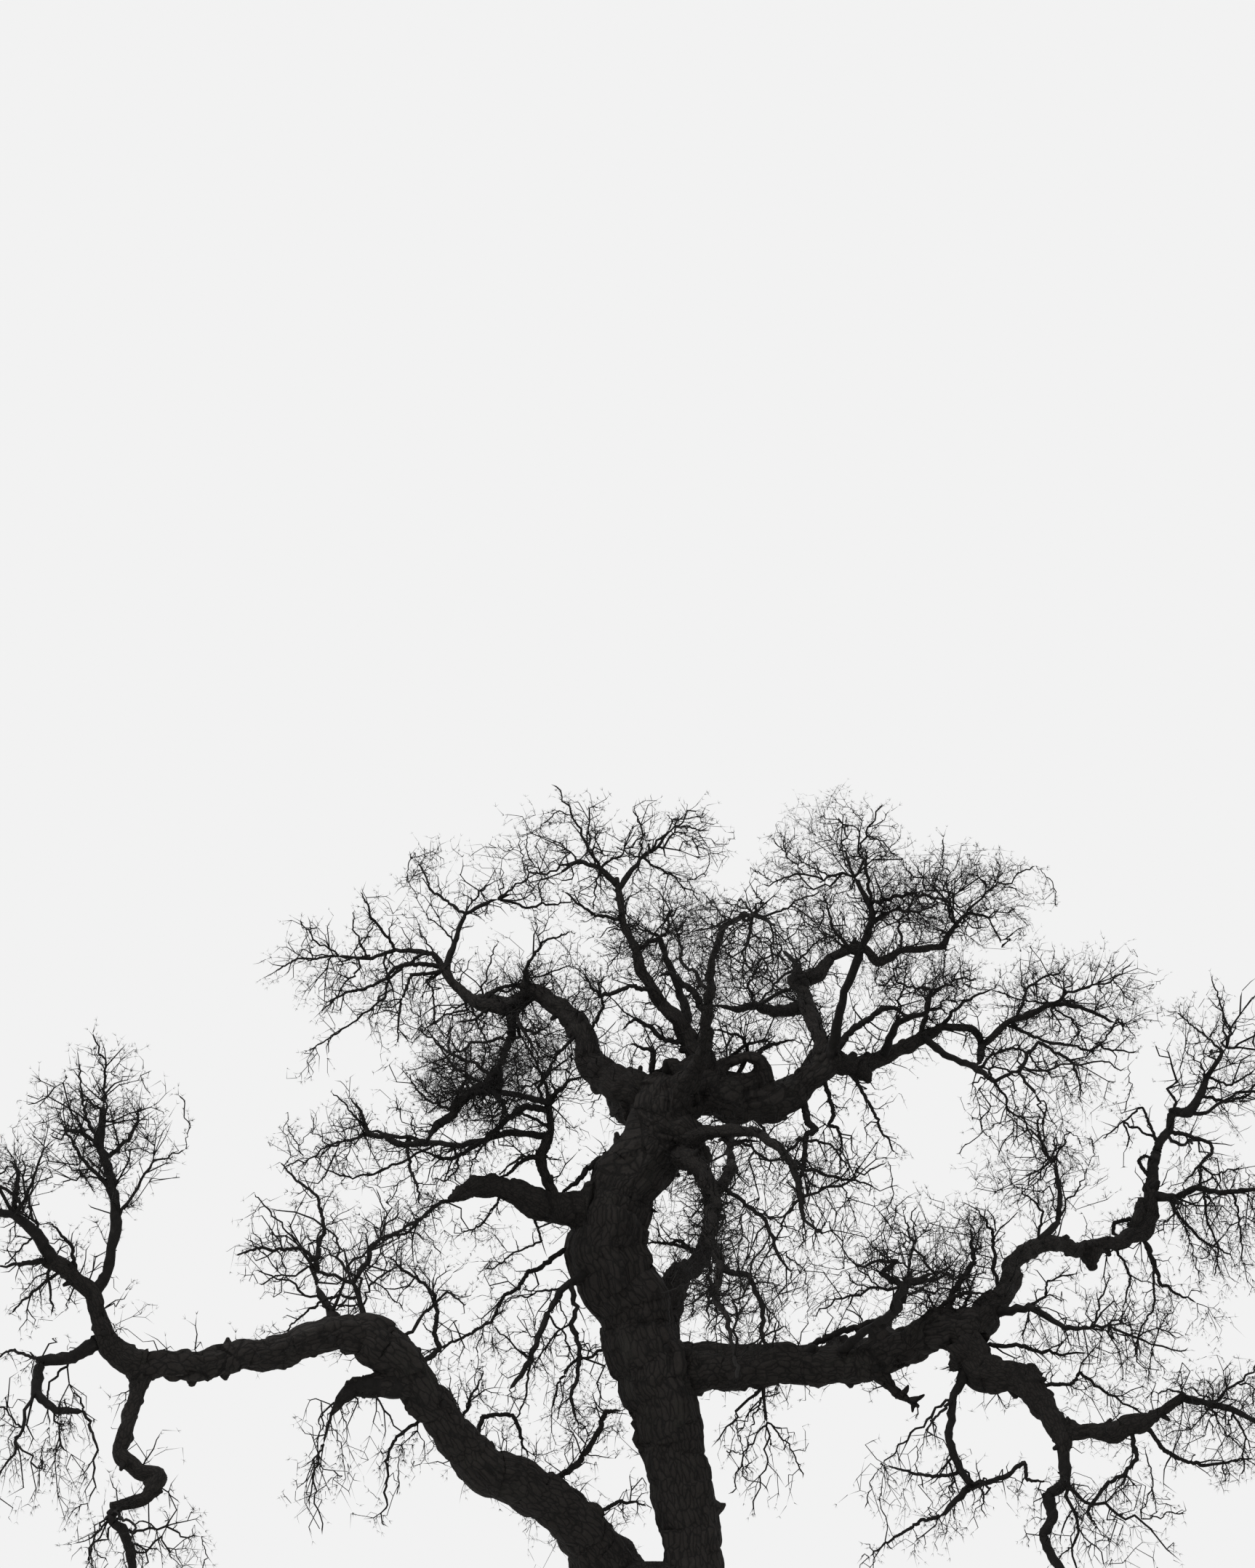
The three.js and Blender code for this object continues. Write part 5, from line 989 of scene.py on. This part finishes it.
def young_bark_material():
    """Young oak bark, thin and unbroken: smooth and dull, with paler flecks of lichen along it."""
    material, shader = matt_material("young_oak_bark", 0.88, 0.2)
    tree = material.node_tree
    place = add_node(tree, "ShaderNodeTexCoord").outputs["Object"]
    # the flecks are 10 to 20 mm long, too fine to show, so they are drawn 70 mm apart
    fleck = add_node(tree, "ShaderNodeTexNoise", inputs={
        "Vector": place, "Scale": MM_IN_METRE / 70, "Detail": 4})
    colour = add_node(tree, "ShaderNodeValToRGB", inputs={"Fac": fleck.outputs["Fac"]},
                      stops=[(0.35, "121110"), (0.62, "1b1918"), (0.75, "282624")])
    tree.links.new(colour.outputs["Color"], shader.inputs["Base Color"])
    return material


old_bark = bark_material("old_oak_bark", 70, "2b2826", "131211", "353530", 0.012)
bough_bark = bark_material("bough_oak_bark", 42, "292624", "151413", "34342f", 0.007)
young_bark = young_bark_material()


def piece(name, mesh, material, slot, *nodes):
    """A finished piece of the tree, standing for the solids named."""
    mesh.materials.append(material)
    mesh.shade_smooth()
    obj = bpy.data.objects.new(name, mesh)
    bpy.context.collection.objects.link(obj)
    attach(obj, "root")
    if nodes:
        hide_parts(*nodes)


# Trunk and boughs


def swept(bm, frames, sides):
    """A closed limb: a disc drawn out ring by ring through its frames."""
    disc = bmesh.ops.create_circle(bm, cap_ends=True, segments=sides, radius=1.0, matrix=frames[0])
    ring = list({e for v in disc["verts"] for e in v.link_edges})
    for last, here in zip(frames, frames[1:]):
        drawn = bmesh.ops.extrude_edge_only(bm, edges=ring)["geom"]
        verts = [g for g in drawn if isinstance(g, bmesh.types.BMVert)]
        bmesh.ops.transform(bm, matrix=here @ last.inverted(), verts=verts)
        new = set(verts)
        ring = list({e for v in verts for e in v.link_edges if e.verts[0] in new and e.verts[1] in new})
    bmesh.ops.edgeloop_fill(bm, edges=ring)


def finished(bm, name):
    """The mesh of a limb, its facets split once more for the bark, and its vertices."""
    bmesh.ops.subdivide_edges(bm, edges=bm.edges[:], cuts=1, use_grid_fill=True)
    bmesh.ops.recalc_face_normals(bm, faces=bm.faces[:])
    mesh = bpy.data.meshes.new(name)
    bm.to_mesh(mesh)
    bm.free()
    co = np.empty(len(mesh.vertices) * 3)
    mesh.vertices.foreach_get("co", co)
    return mesh, co.reshape(-1, 3)


def frames_along(points, radii):
    """A frame for each ring, turned no more than the line turns."""
    ways = unit(np.gradient(points, axis=0))
    turn = Vector((0, 0, 1)).rotation_difference(Vector(ways[0]))
    frames = []
    for i, (p, r) in enumerate(zip(points, radii)):
        if i:
            turn = Vector(ways[i - 1]).rotation_difference(Vector(ways[i])) @ turn
        frames.append(Matrix.Translation(p) @ turn.to_matrix().to_4x4() @ Matrix.Scale(r, 4))
    return frames


def barked(mesh, co, s, turn, r, out, seed):
    """Bark relief: slow swellings, burls, furrows that run along the limb, and plates between them.
    Also keeps each vertex's place along and round the limb, which the bark's pattern follows."""
    girth = turn * r[:, None]

    def layer(number, wide, long, bend=0, start=0):
        """Lumps of one width round the limb and one length along it."""
        round_it = girth / np.reshape(wide, (-1, 1)) + bend
        return noise(np.column_stack([round_it, s / long + start]), seed + number)

    swell = layer(0, r / SWELLS_ROUND, np.polyval(SWELL_LENGTH, r))
    knuckle = layer(1, r / KNUCKLES_ROUND, np.polyval(KNUCKLE_LENGTH, r), start=KNUCKLE_START)
    swell += KNUCKLE_SHARE * knuckle
    burl = layer(2, np.polyval(BURL_WIDTH, r), np.polyval(BURL_LENGTH, r))
    bend = FURROW_BEND * layer(3, *FURROW_BEND_SIZE)[:, None]
    furrow = 1 - FURROW_SHARPNESS * np.abs(layer(4, *FURROW_SIZE, bend))
    plate = layer(5, *PLATE_SIZE) + CHIP_SHARE * layer(6, *CHIP_SIZE)
    lump = layer(7, *LUMP_SIZE) + KNOB_SHARE * layer(8, *KNOB_SIZE)
    move = (swell * np.interp(r, *SWELL_HEIGHT) + np.maximum(0, burl - BURL_FROM) * BURL_HEIGHT) * r
    fine = lump * LUMP_HEIGHT - np.clip(furrow, -1, 1) * FURROW_DEPTH + plate * PLATE_HEIGHT
    move += fine * np.minimum(1, r / FULL_RELIEF)
    move -= move.mean() + SINK * move.std()
    mesh.vertices.foreach_set("co", (co + out * move[:, None]).ravel())
    grain = mesh.attributes.new("grain", "FLOAT_VECTOR", "POINT")
    grain.data.foreach_set("vector", np.column_stack([girth, s]).ravel())
    mesh.update()


def wandered(points, radii, rng):
    """A limb's middle line strayed from side to side, in straight reaches from bend to bend."""
    along = distance_along(points)
    fade = np.minimum(1, (along[-1] - along) / WANDER_FADES)
    reach = radii * np.interp(radii.mean(), *WANDER) + WANDER_LEAST
    for spacing, share in WANDER_BENDS:
        bends = np.arange(0, along[-1] + 2 * spacing, spacing)
        throws = rng.uniform(-1, 1, (len(bends), 3)) * share
        points = points + spread_at(throws, bends, along) * (fade * reach)[:, None]
    return points


def eased(points, rounds):
    """A line with its corners eased, its two ends kept."""
    for _ in range(rounds):
        points[1:-1] = (points[:-2] + 2 * points[1:-1] + points[2:]) / 4
    return points


def limb_form(part, before, rng):
    """A limb's final middle line and radii, and how far along it leaves its parent's bark. It swells into a
    collar there, and its end is domed."""
    points, radii = part
    reach = np.linalg.norm(np.diff(points, axis=0), axis=1).mean()
    bent, radii = curved(points, radii, max(2, round(reach / RING_SPACING)))
    points = bent + np.interp(radii.mean(), *ANGULAR) * (spread(points, len(bent)) - bent)
    points = eased(points, int((EASING * radii.mean() / RING_SPACING) ** 2) + 1)
    along = distance_along(points)
    outside = bark_distance(points, before) > 0
    leaves = along[outside.argmax()] if outside.any() else 0
    past = np.maximum(0, along - leaves) / (COLLAR_LENGTH * radii[0])
    radii = radii * (1 + np.interp(radii[0], *COLLAR) * np.exp(-past))
    points = wandered(points, radii, rng)
    way = unit(points[-1] - points[-3])
    turns = np.radians(DOME_TURNS)[:, None]
    points = np.vstack([points, points[-1] + way * radii[-1] * DOME * np.sin(turns)])
    radii = np.append(radii, radii[-1] * np.cos(turns[:, 0]))
    return points, radii, leaves


def limb_mesh(name, forms, seed):
    """A bough, and any wood fused to it."""
    bm = bmesh.new()
    every = []
    for points, radii, _ in forms:
        frames = frames_along(points, radii)
        swept(bm, frames, int(np.clip(round(2 * math.pi * radii.mean() / FACET), *FACETS)))
        every += frames
    mesh, co = finished(bm, name)
    tree = KDTree(len(every))
    for i, ring in enumerate(every):
        tree.insert(ring.translation, i)
    tree.balance()
    near = np.array([tree.find(p)[1] for p in co])
    middle = np.array([ring.translation for ring in every])
    axes = np.array([[ring.col[k].to_3d().normalized() for k in range(3)] for ring in every])
    r = np.array([ring.col[0].to_3d().length for ring in every])[near]
    along = distance_along(middle)[near]
    local = np.einsum("nij,nj->ni", axes[near], co - middle[near])
    reach = np.linalg.norm(local[:, :2], axis=1, keepdims=True)
    turn = local[:, :2] / np.maximum(reach, 1e-6)
    out = np.einsum("ni,nij->nj", turn, axes[near][:, :2]) * (reach > END_CAP * r[:, None])
    barked(mesh, co, along + local[:, 2], turn, np.maximum(r, LEAST_GIRTH), out, seed)
    return mesh


def trunk_mesh():
    """The trunk: level rings, fluted into buttresses at the foot, and furrowed."""
    bm = bmesh.new()
    frames = []
    for z in np.linspace(0, trunk_height[-1], TRUNK_RINGS):
        wide = np.interp(z, trunk_height, trunk_wide)
        deep = np.interp(z, trunk_height, trunk_deep)
        frames.append(Matrix.Translation((trunk_lean * z, 0, z)) @ Matrix.Diagonal((wide, deep, 1, 1)))
    swept(bm, frames, TRUNK_FACETS)
    mesh, co = finished(bm, "trunk_bark")
    z = co[:, 2]
    middle = np.column_stack([trunk_lean * z, z * 0])
    around = np.arctan2(co[:, 1], co[:, 0] - middle[:, 0])
    fade = np.maximum(0, 1 - z / FLUTE_FADES_AT) ** 2
    flute = 1 + FLUTE_DEPTH * fade * np.cos(ROOT_FLUTES * around + FLUTE_TURN)
    co[:, :2] = middle + (co[:, :2] - middle) * flute[:, None]
    reach = np.hypot(*(co[:, :2] - middle).T)
    turn = np.column_stack([np.cos(around), np.sin(around)])
    outer = (reach > TRUNK_CORE) & (z > FOOT_CUT)
    out = np.column_stack([turn, z * 0]) * outer[:, None]
    barked(mesh, co, z, turn, np.maximum(reach, TRUNK_GIRTH), out, TRUNK_SEED)
    return mesh


piece("trunk_bark", trunk_mesh(), old_bark, "bark", "trunk")
limb_forms = {}
earlier = limb_lines["trunk"]
for number, name in enumerate(BOUGHS, 1):
    parts = limb_lines[name]
    rng = np.random.default_rng(number)
    limb_forms[name] = [limb_form(part, earlier, rng) for part in parts]
    earlier = earlier + parts
    snags = [limb_form(line(snag), earlier, rng) for snag in SNAGS.get(name, [])]
    mesh = limb_mesh(name + "_bark", limb_forms[name] + snags, 10 * number)
    thick = parts[0][1].mean() > THICK_BOUGH
    piece(name + "_bark", mesh, old_bark if thick else bough_bark, "bark", name)


# Twigs


def crooked(paths, bends, throw, rng):
    """Paths with a bend thrown sideways into the middle of every reach, again and again."""
    for _ in range(bends):
        reach = np.linalg.norm(paths[:, 1:] - paths[:, :-1], axis=-1, keepdims=True)
        middle = (paths[:, 1:] + paths[:, :-1]) / 2
        middle = middle + rng.normal(size=middle.shape) * reach * throw
        finer = np.empty((len(paths), 2 * paths.shape[1] - 1, 3))
        finer[:, ::2] = paths
        finer[:, 1::2] = middle
        paths = finer
    return paths


def inside_box(points):
    """Which points keep to the tree's own box, but for a little."""
    low, high = np.array(cad_box) + np.array([[-1], [1]]) * BOX_SKIN
    return ((points > low) & (points < high)).all(-1)


def cost(gap, way, back, hangs):
    """The cost of growing over each gap, from wood that points one way and lies so far from its limb."""
    length = np.maximum(np.linalg.norm(gap, axis=-1), 1e-6)
    turn = 1 - (gap * way).sum(-1) / length
    far = np.linalg.norm(gap * (1 + hangs, 1 + hangs, 1), axis=-1)
    return far * (1 + TURN_COST * turn) + DETOUR_COST * back


class Wood:
    """Twigs grown so far, and the places on them that finer twigs may leave."""

    def __init__(self):
        self.p = np.empty((0, 3))
        self.way = np.empty((0, 3))
        self.r = np.empty(0)
        self.back = np.empty(0)
        self.end = np.empty(0, bool)
        self.tubes = []

    def add(self, paths, radii, back, sides, skip=1):
        """Twigs as paths of the same count of points, with how far their feet are from the limb."""
        ways = unit(np.gradient(paths, axis=1))
        steps = np.linalg.norm(np.diff(paths, axis=1), axis=-1)
        along = np.concatenate([np.zeros((len(paths), 1)), np.cumsum(steps, 1)], 1) + back[:, None]
        end = np.zeros(radii.shape, bool)
        end[:, -1] = True
        self.p = np.vstack([self.p, paths[:, skip:].reshape(-1, 3)])
        self.way = np.vstack([self.way, ways[:, skip:].reshape(-1, 3)])
        self.r = np.append(self.r, radii[:, skip:])
        self.back = np.append(self.back, along[:, skip:])
        self.end = np.append(self.end, end[:, skip:])
        self.tubes.append((paths, radii, sides))

    def branch(self, points, radii, back, form, rng, skip=1):
        """One branch with its crooks, uneven in thickness."""
        path = crooked(points[None], form["bends"], form["throw"], rng)
        uneven = rng.uniform(1 - UNEVEN, 1 + UNEVEN, path.shape[1])
        thick = spread(radii, path.shape[1]) * uneven
        self.add(path, thick[None], np.array([back]), form["sides"], skip)

    def grow(self, goals, order, hangs, rng):
        """Twigs of a finer order, from the best place to each goal."""
        goals = goals[inside_box(goals)]
        foot = cost(goals[:, None] - self.p, self.way, self.back, hangs).argmin(1)
        start = self.p[foot]
        gap = goals - start
        length = np.linalg.norm(gap, axis=1)
        longest = LONGEST * order["reach"][1]
        gap *= np.minimum(1, longest / length)[:, None]
        length = np.minimum(length, longest)
        s = np.array([0, 0.5, 1])
        swing = (s * (1 - s))[None, :, None] * length[:, None, None]
        paths = start[:, None] + gap[:, None] * s[None, :, None]
        paths += self.way[foot][:, None] * swing * FINE_BOW
        paths[:, 1] += rng.normal(size=gap.shape) * length[:, None] * order["throw"]
        paths += np.array([0, 0, FINE_ARCH * hangs]) * swing
        paths = crooked(paths, order["bends"], order["throw"], rng)
        broad = np.minimum(self.r[foot] * FINER, order["tip"] + order["thickens"] * length)[:, None]
        radii = broad + (order["tip"] - broad) * np.linspace(0, 1, paths.shape[1])
        self.add(paths, np.minimum(radii, broad), self.back[foot], order["sides"])

    def clothe(self, counts, hangs, rng, spots=None):
        """Finer and finer twigs: arms, branchlets and twigs, then twiglets, and tufts of short spurs. They
        grow to the spots that the function given picks, or else to spots around the wood."""
        *orders, twiglets, tufts = (int(c) for c in counts)
        for order, count in zip((ARM, BRANCHLET, TWIG), orders):
            for _ in range(order["rounds"] if count else 0):
                n = max(1, count // order["rounds"])
                self.grow(spots(n, rng) if spots else self.around(n, order, hangs, rng), order, hangs, rng)
        older = len(self.p)
        self.sprout(self.picked(twiglets, rng), TWIGLET, hangs, rng)
        ends = np.append(np.arange(older, len(self.p)), self.picked(tufts, rng, TUFTS_AT_ENDS))
        self.sprout(np.repeat(ends, SPURS_IN_TUFT), SPUR, hangs, rng)

    def around(self, count, order, hangs, rng):
        """Spots within an order's reach of the wood."""
        reach = unit(rng.normal(size=(count, 3))) * rng.uniform(*order["reach"], (count, 1))
        reach[:, 2] += LIFT - DROP * hangs
        return self.p[self.picked(count, rng)] + reach

    def picked(self, count, rng, at_ends=1):
        """Places on the wood, more of them in clumps, on thin wood, and at ends where that is asked."""
        weight = np.exp(CLUMPING * noise(self.p / CLUMP, CLUMP_SEED)) * np.minimum(1, THIN_WOOD / self.r)
        weight *= np.where(self.end, at_ends, 1)
        return rng.choice(len(self.p), count, p=weight / weight.sum())

    def sprout(self, feet, kind, hangs, rng):
        """The finest twigs: straight twiglets, or the spurs of tufts."""
        n = len(feet)
        pull = np.array([0, 0, SPROUT_RISES - SPROUT_DROPS * hangs])
        out = unit(self.way[feet] * SPROUT_FOLLOWS + unit(rng.normal(size=(n, 3))) + pull)
        paths = np.stack([self.p[feet], self.p[feet] + out * rng.uniform(*kind["length"], (n, 1))], 1)
        radii = np.minimum(self.r[feet] * SPROUT_SHARE, kind["radius"])[:, None] * SPROUT_TAPER
        kept = inside_box(paths[:, 1])
        self.add(paths[kept], radii[kept], self.back[feet][kept], 3)


def tube_faces(rings, sides):
    """The faces of one tube: its sides, its point and its closed foot."""
    faces = []
    for low in range(0, (rings - 1) * sides, sides):
        for a in range(sides):
            b = (a + 1) % sides
            faces += [[low + a, low + b, low + sides + b], [low + a, low + sides + b, low + sides + a]]
    last = (rings - 1) * sides
    faces += [[last + a, last + (a + 1) % sides, last + sides] for a in range(sides)]
    return faces + [[0, a + 1, a] for a in range(1, sides - 1)]


def twig_piece(name, tubes, *nodes):
    """One piece of many tapering twigs, each closed at its foot and drawn to a point."""
    verts, faces, count = [], [], 0
    for paths, radii, sides in tubes:
        n, places, _ = paths.shape
        way = unit(np.gradient(paths, axis=1))
        across = unit(np.cross(way, OFF_AXIS))
        other = np.cross(way, across)
        turn = 2 * np.pi * np.arange(sides) / sides
        ring = across[:, :, None] * np.cos(turn)[:, None] + other[:, :, None] * np.sin(turn)[:, None]
        body = paths[:, :-1, None] + ring[:, :-1] * radii[:, :-1, None, None]
        own = np.concatenate([body.reshape(n, -1, 3), paths[:, -1:]], 1)
        start = count + np.arange(n)[:, None, None] * own.shape[1]
        faces.append((np.array(tube_faces(places - 1, sides)) + start).reshape(-1, 3))
        verts.append(own.reshape(-1, 3))
        count += len(verts[-1])
    mesh = bpy.data.meshes.new(name)
    mesh.from_pydata(np.vstack(verts), [], np.vstack(faces))
    piece(name, mesh, young_bark, "twig_wood", *nodes)


def target(mass, i):
    """Place number i of an even spread through the skin of a mass's space."""
    share = [(0.5 + (i + 1) / PLASTIC**k + chance(mass["seed"], k)) % 1 for k in (1, 2, 3)]
    radius = OUTER_SKIN + (1 - OUTER_SKIN) * share[0]
    turn = 2 * math.pi * share[1]
    rise = 2 * share[2] - 1
    flat = math.sqrt(1 - rise * rise)
    return mass["middle"] + mass["half"] * radius * (flat * math.cos(turn), flat * math.sin(turn), rise)


def depth_in(mass, p):
    """How far points are through a mass's space: 1 on its skin."""
    return np.linalg.norm((p - mass["middle"]) / mass["half"], axis=-1)


def first_twigs(mass):
    """The twigs of the first order, as the solids have them: paths of 3 or 4 places."""
    stem, radii = line(mass["stem"])
    last = len(stem) - 1
    wood = [(stem[i], radii[i], unit(stem[min(i + 1, last)] - stem[i - 1]), i * TWIG_STEP)
            for i in range(1, last + 1)]
    found = []
    for i in range(TWIGS_PER_MASS):
        goal = target(mass, i)
        costs = [cost(goal - p, way, back, mass["hangs"]) for p, _, way, back in wood]
        p0, r0, way, back = wood[int(np.argmin(costs))]
        gap = goal - p0
        length = np.linalg.norm(gap)
        bends = 3 if length > TWIG_LONG else 2
        foot = min(r0 * TWIG_SHARE, TWIG_TIP + TWIG_THICKENS * length)
        points = [p0]
        for k in range(1, bends + 1):
            s = k / bends
            swing = length * s * (1 - s)
            p = p0 + gap * s + way * BOW * swing + np.array([0, 0, ARCH * mass["hangs"] * swing])
            if k < bends:
                throw = [chance(mass["seed"], 16 * (i + 1) + 4 * k + axis) - 0.5 for axis in range(3)]
                p = p + np.array(throw) * 2 * CROOK * length / bends
            points.append(p)
        points = np.array(points)
        probes = np.vstack([points[1:], (points[1:] + points[:-1]) / 2])
        touches = bark_distance(probes, all_lines).min() < foot + TWIG_CLEARANCE
        swings_out = depth_in(mass, p0) < SPACE_SKIN and not (depth_in(mass, points) < SPACE_SKIN).all()
        if touches or swings_out:
            continue
        taper = foot + (TWIG_TIP - foot) * np.arange(bends + 1) / bends
        for k in range(1, bends + 1):
            wood.append((points[k], taper[k], unit(points[k] - points[k - 1]), back + k / bends * length))
        found.append((points, taper, back))
    return found


def stem_line(points, radii):
    """A stem's line, partly curved, and its radii."""
    bent, radii = curved(points, radii, STEM_STEPS)
    straight = spread(points, len(bent))
    return straight + (bent - straight) * STEM_CURVE, radii


def crown(mass):
    """A mass's stem and first twigs, carried on to finer twigs within its space."""
    rng = np.random.default_rng(mass["seed"])
    wood = Wood()
    stem, radii = stem_line(*line(mass["stem"]))
    wood.branch(stem, radii * np.interp(radii, *SLENDER), 0, STEM, rng, skip=len(stem) // 2)
    for points, taper, back in first_twigs(mass):
        points = spread(points, FIRST_TWIG_PLACES)
        wood.branch(points, np.maximum(taper, LEAST_RADIUS), back, FIRST_TWIG, rng)

    def spots(count, rng):
        """Spots in the mass's space, ragged at its skin and with gaps of open air."""
        way = unit(rng.normal(size=(TRIES * count, 3)))
        out = rng.uniform(0, 1, (TRIES * count, 1)) ** OUTWARD
        reach, strays, lumps = RAGGED
        ragged = reach + strays * noise(way * lumps, mass["seed"])
        open_air = noise(way * out * mass["half"] / SKY_GAP, mass["seed"] + SKY_SEED)
        kept = (out[:, 0] < ragged) & (open_air > rng.uniform(SKY_FROM, SKY_TO, TRIES * count))
        return mass["middle"] + (way * out * mass["half"])[kept][:count]

    dense = mass["dense"]
    more = (dense**0.5, dense**0.5, dense, dense, dense)
    wood.clothe(np.array(IN_MASS) * more, mass["hangs"], rng, spots)
    return wood


for number, (name, mass) in enumerate(MASSES.items(), 1):
    scale = nearness(mass["at"][2])
    mass["seed"] = number
    mass["middle"] = sighted(mass["at"])
    mass["half"] = np.array(mass["size"]) * (scale, 1, scale)
    twig_piece(name.removesuffix("_twigs") + "_crown", crown(mass).tubes, name)

# Side branches, each from the limb or stem that shows at its foot
carriers = [(p, r) for forms in limb_forms.values() for p, r, _ in forms]
carriers += [curved(*line(mass["stem"]), CARRIER_STEPS) for mass in MASSES.values()]
carrier_places = np.vstack([p for p, _ in carriers])
carrier_radii = np.concatenate([r for _, r in carriers])
carrier_seen = seen(carrier_places)


def side_branch(row, rng):
    """A side branch with its twigs."""
    thick, thin, away, hangs, dense, route = row
    route = np.array(route, float)
    off = np.linalg.norm(carrier_seen - route[0], axis=1)
    foot = carrier_places[(off - carrier_radii).argmin()]
    behind = foot[1] + away * np.linspace(0, 1, len(route))
    points = np.vstack([foot, sighted(np.column_stack([route, behind]))])
    thickness = np.linspace(thick, thin, len(points))
    thickness[-1] = min(thin, SIDE_TIP)
    points, radii = stem_line(points, thickness / 2)
    wood = Wood()
    wood.branch(points, radii, 0, SIDE_BRANCH, rng, skip=len(points))
    if dense:
        wood.clothe(np.array(ON_SIDE_BRANCH) * dense * distance_along(points)[-1], hangs, rng)
    return wood


side_rng = np.random.default_rng(SIDE_SEED)
sides = {"west": [], "middle": [], "east": []}
for row in SIDE_BRANCHES:
    across = row[-1][0][0]
    side = "west" if across < -MIDDLE else "east" if across > MIDDLE else "middle"
    sides[side].append(side_branch(row, side_rng))
for side, woods in sides.items():
    twig_piece(side + "_side_branches", [wood.tubes[0] for wood in woods])
    twig_piece(side + "_branch_twigs", [tube for wood in woods for tube in wood.tubes[1:]])


def places_on(form, a_metre, rng):
    """Chance places on a bough: its middle and radius there, the way it points, and a way out."""
    points, radii, leaves = form
    along = distance_along(points)
    count = int(a_metre * (along[-1] - leaves))
    at = rng.uniform(leaves, along[-1], count)
    way = spread_at(unit(np.gradient(points, axis=0)), along, at)
    out = rng.normal(size=(count, 3))
    out = unit(out - way * (out * way).sum(1, keepdims=True))
    return spread_at(points, along, at), np.interp(at, along, radii)[:, None], way, out


def shoots(form, dense, rng):
    """Shoots straight from a bough's bark, with their twigs."""
    middle, r, way, out = places_on(form, SHOOTS_A_METRE * dense, rng)
    length = rng.uniform(*SHOOT_LENGTH, (len(out), 1))
    start = middle + out * r * SHOOT_FOOT
    rise = np.array([0, 0, SHOOT_RISES])
    tip = start + (out + way * SHOOT_LEANS + rise) * length + out * r * (1 - SHOOT_FOOT)
    paths = crooked(np.stack([start, (start + tip) / 2, tip], 1), SHOOT["bends"], SHOOT["throw"], rng)
    broad = np.minimum(SHOOT_RADIUS + SHOOT_THICKENS * length, r * SHOOT_SHARE)
    wood = Wood()
    radii = broad * np.linspace(1, SHOOT_TAPER, paths.shape[1])
    wood.add(paths, radii, np.zeros(len(out)), SHOOT["sides"])
    bare = distance_along(form[0])[-1] - form[2]
    wood.clothe(np.array(ON_BOUGH) * dense * bare, BOUGH_HANGS, rng)
    return wood.tubes


def stubs(form, rng):
    """Short dead snags on a bough."""
    middle, r, way, out = places_on(form, STUBS_A_METRE, rng)
    reach = (out + way * STUB_LEANS) * (r + rng.uniform(*STUB_LENGTH, (len(out), 1)))
    broad = np.clip(r * STUB_SHARE, *STUB_RADIUS) * rng.uniform(*STUB_VARIES, (len(out), 1))
    along, thick = np.array(STUB_PROFILE).T
    return middle[:, None] + reach[:, None] * along[:, None], broad * thick, STUB_SIDES


for number, (name, forms) in enumerate(limb_forms.items()):
    rng = np.random.default_rng(SHOOT_SEED + number)
    tubes = [tube for form in forms for tube in shoots(form, BOUGH_DENSITY.get(name, 1), rng)]
    twig_piece(name + "_shoots", tubes + [stubs(form, rng) for form in forms])


# Floor, light and camera
FLOOR_HALF = 900
SOFT_BOX_PLACE = Vector((-16, -14, 30))
SOFT_BOX_AIM = Vector((0, 0, 7))
SOFT_BOX_DIAMETER = 16
SOFT_BOX_POWER = 4000
SEES_TO = 2000

bm = bmesh.new()
bmesh.ops.create_grid(bm, x_segments=2, y_segments=2, size=FLOOR_HALF)
floor_mesh = bpy.data.meshes.new("floor")
bm.to_mesh(floor_mesh)
bm.free()
floor = bpy.data.objects.new("floor", floor_mesh)
bpy.context.collection.objects.link(floor)
# matt floor paint: an even pale grey with no gloss, on which shadows show softly
paint, paint_shader = matt_material("pale_floor_paint", 0.9, 0.5)
paint_shader.inputs["Base Color"].default_value = linear("dcdcda")
floor.data.materials.append(paint)

world = bpy.data.worlds.new("overcast")
bpy.context.scene.world = world
world.use_nodes = True
world.node_tree.nodes["Background"].inputs["Color"].default_value = linear("f2f2f2")
world.node_tree.nodes["Background"].inputs["Strength"].default_value = 1.0
bpy.context.scene.view_settings.view_transform = "Standard"

soft = bpy.data.lights.new("soft_box", "AREA")
soft.shape = "DISK"
soft.size = SOFT_BOX_DIAMETER
soft.energy = SOFT_BOX_POWER
lamp = bpy.data.objects.new("soft_box", soft)
lamp.location = SOFT_BOX_PLACE
lamp.rotation_euler = (SOFT_BOX_AIM - SOFT_BOX_PLACE).to_track_quat("-Z", "Y").to_euler()
bpy.context.collection.objects.link(lamp)

camera = bpy.data.cameras.new("camera")
camera.lens = SENSOR * STANDING_DISTANCE * PIXELS_PER_METRE / PICTURE_HEIGHT
camera.sensor_width = SENSOR
camera.clip_end = SEES_TO
eye = bpy.data.objects.new("camera", camera)
eye.location = (-EYE_WEST_OF_TRUNK, -STANDING_DISTANCE, EYE_HEIGHT)
eye.rotation_euler = (math.pi / 2 + SIGHT_PITCH, 0, 0)
bpy.context.collection.objects.link(eye)
bpy.context.scene.camera = eye
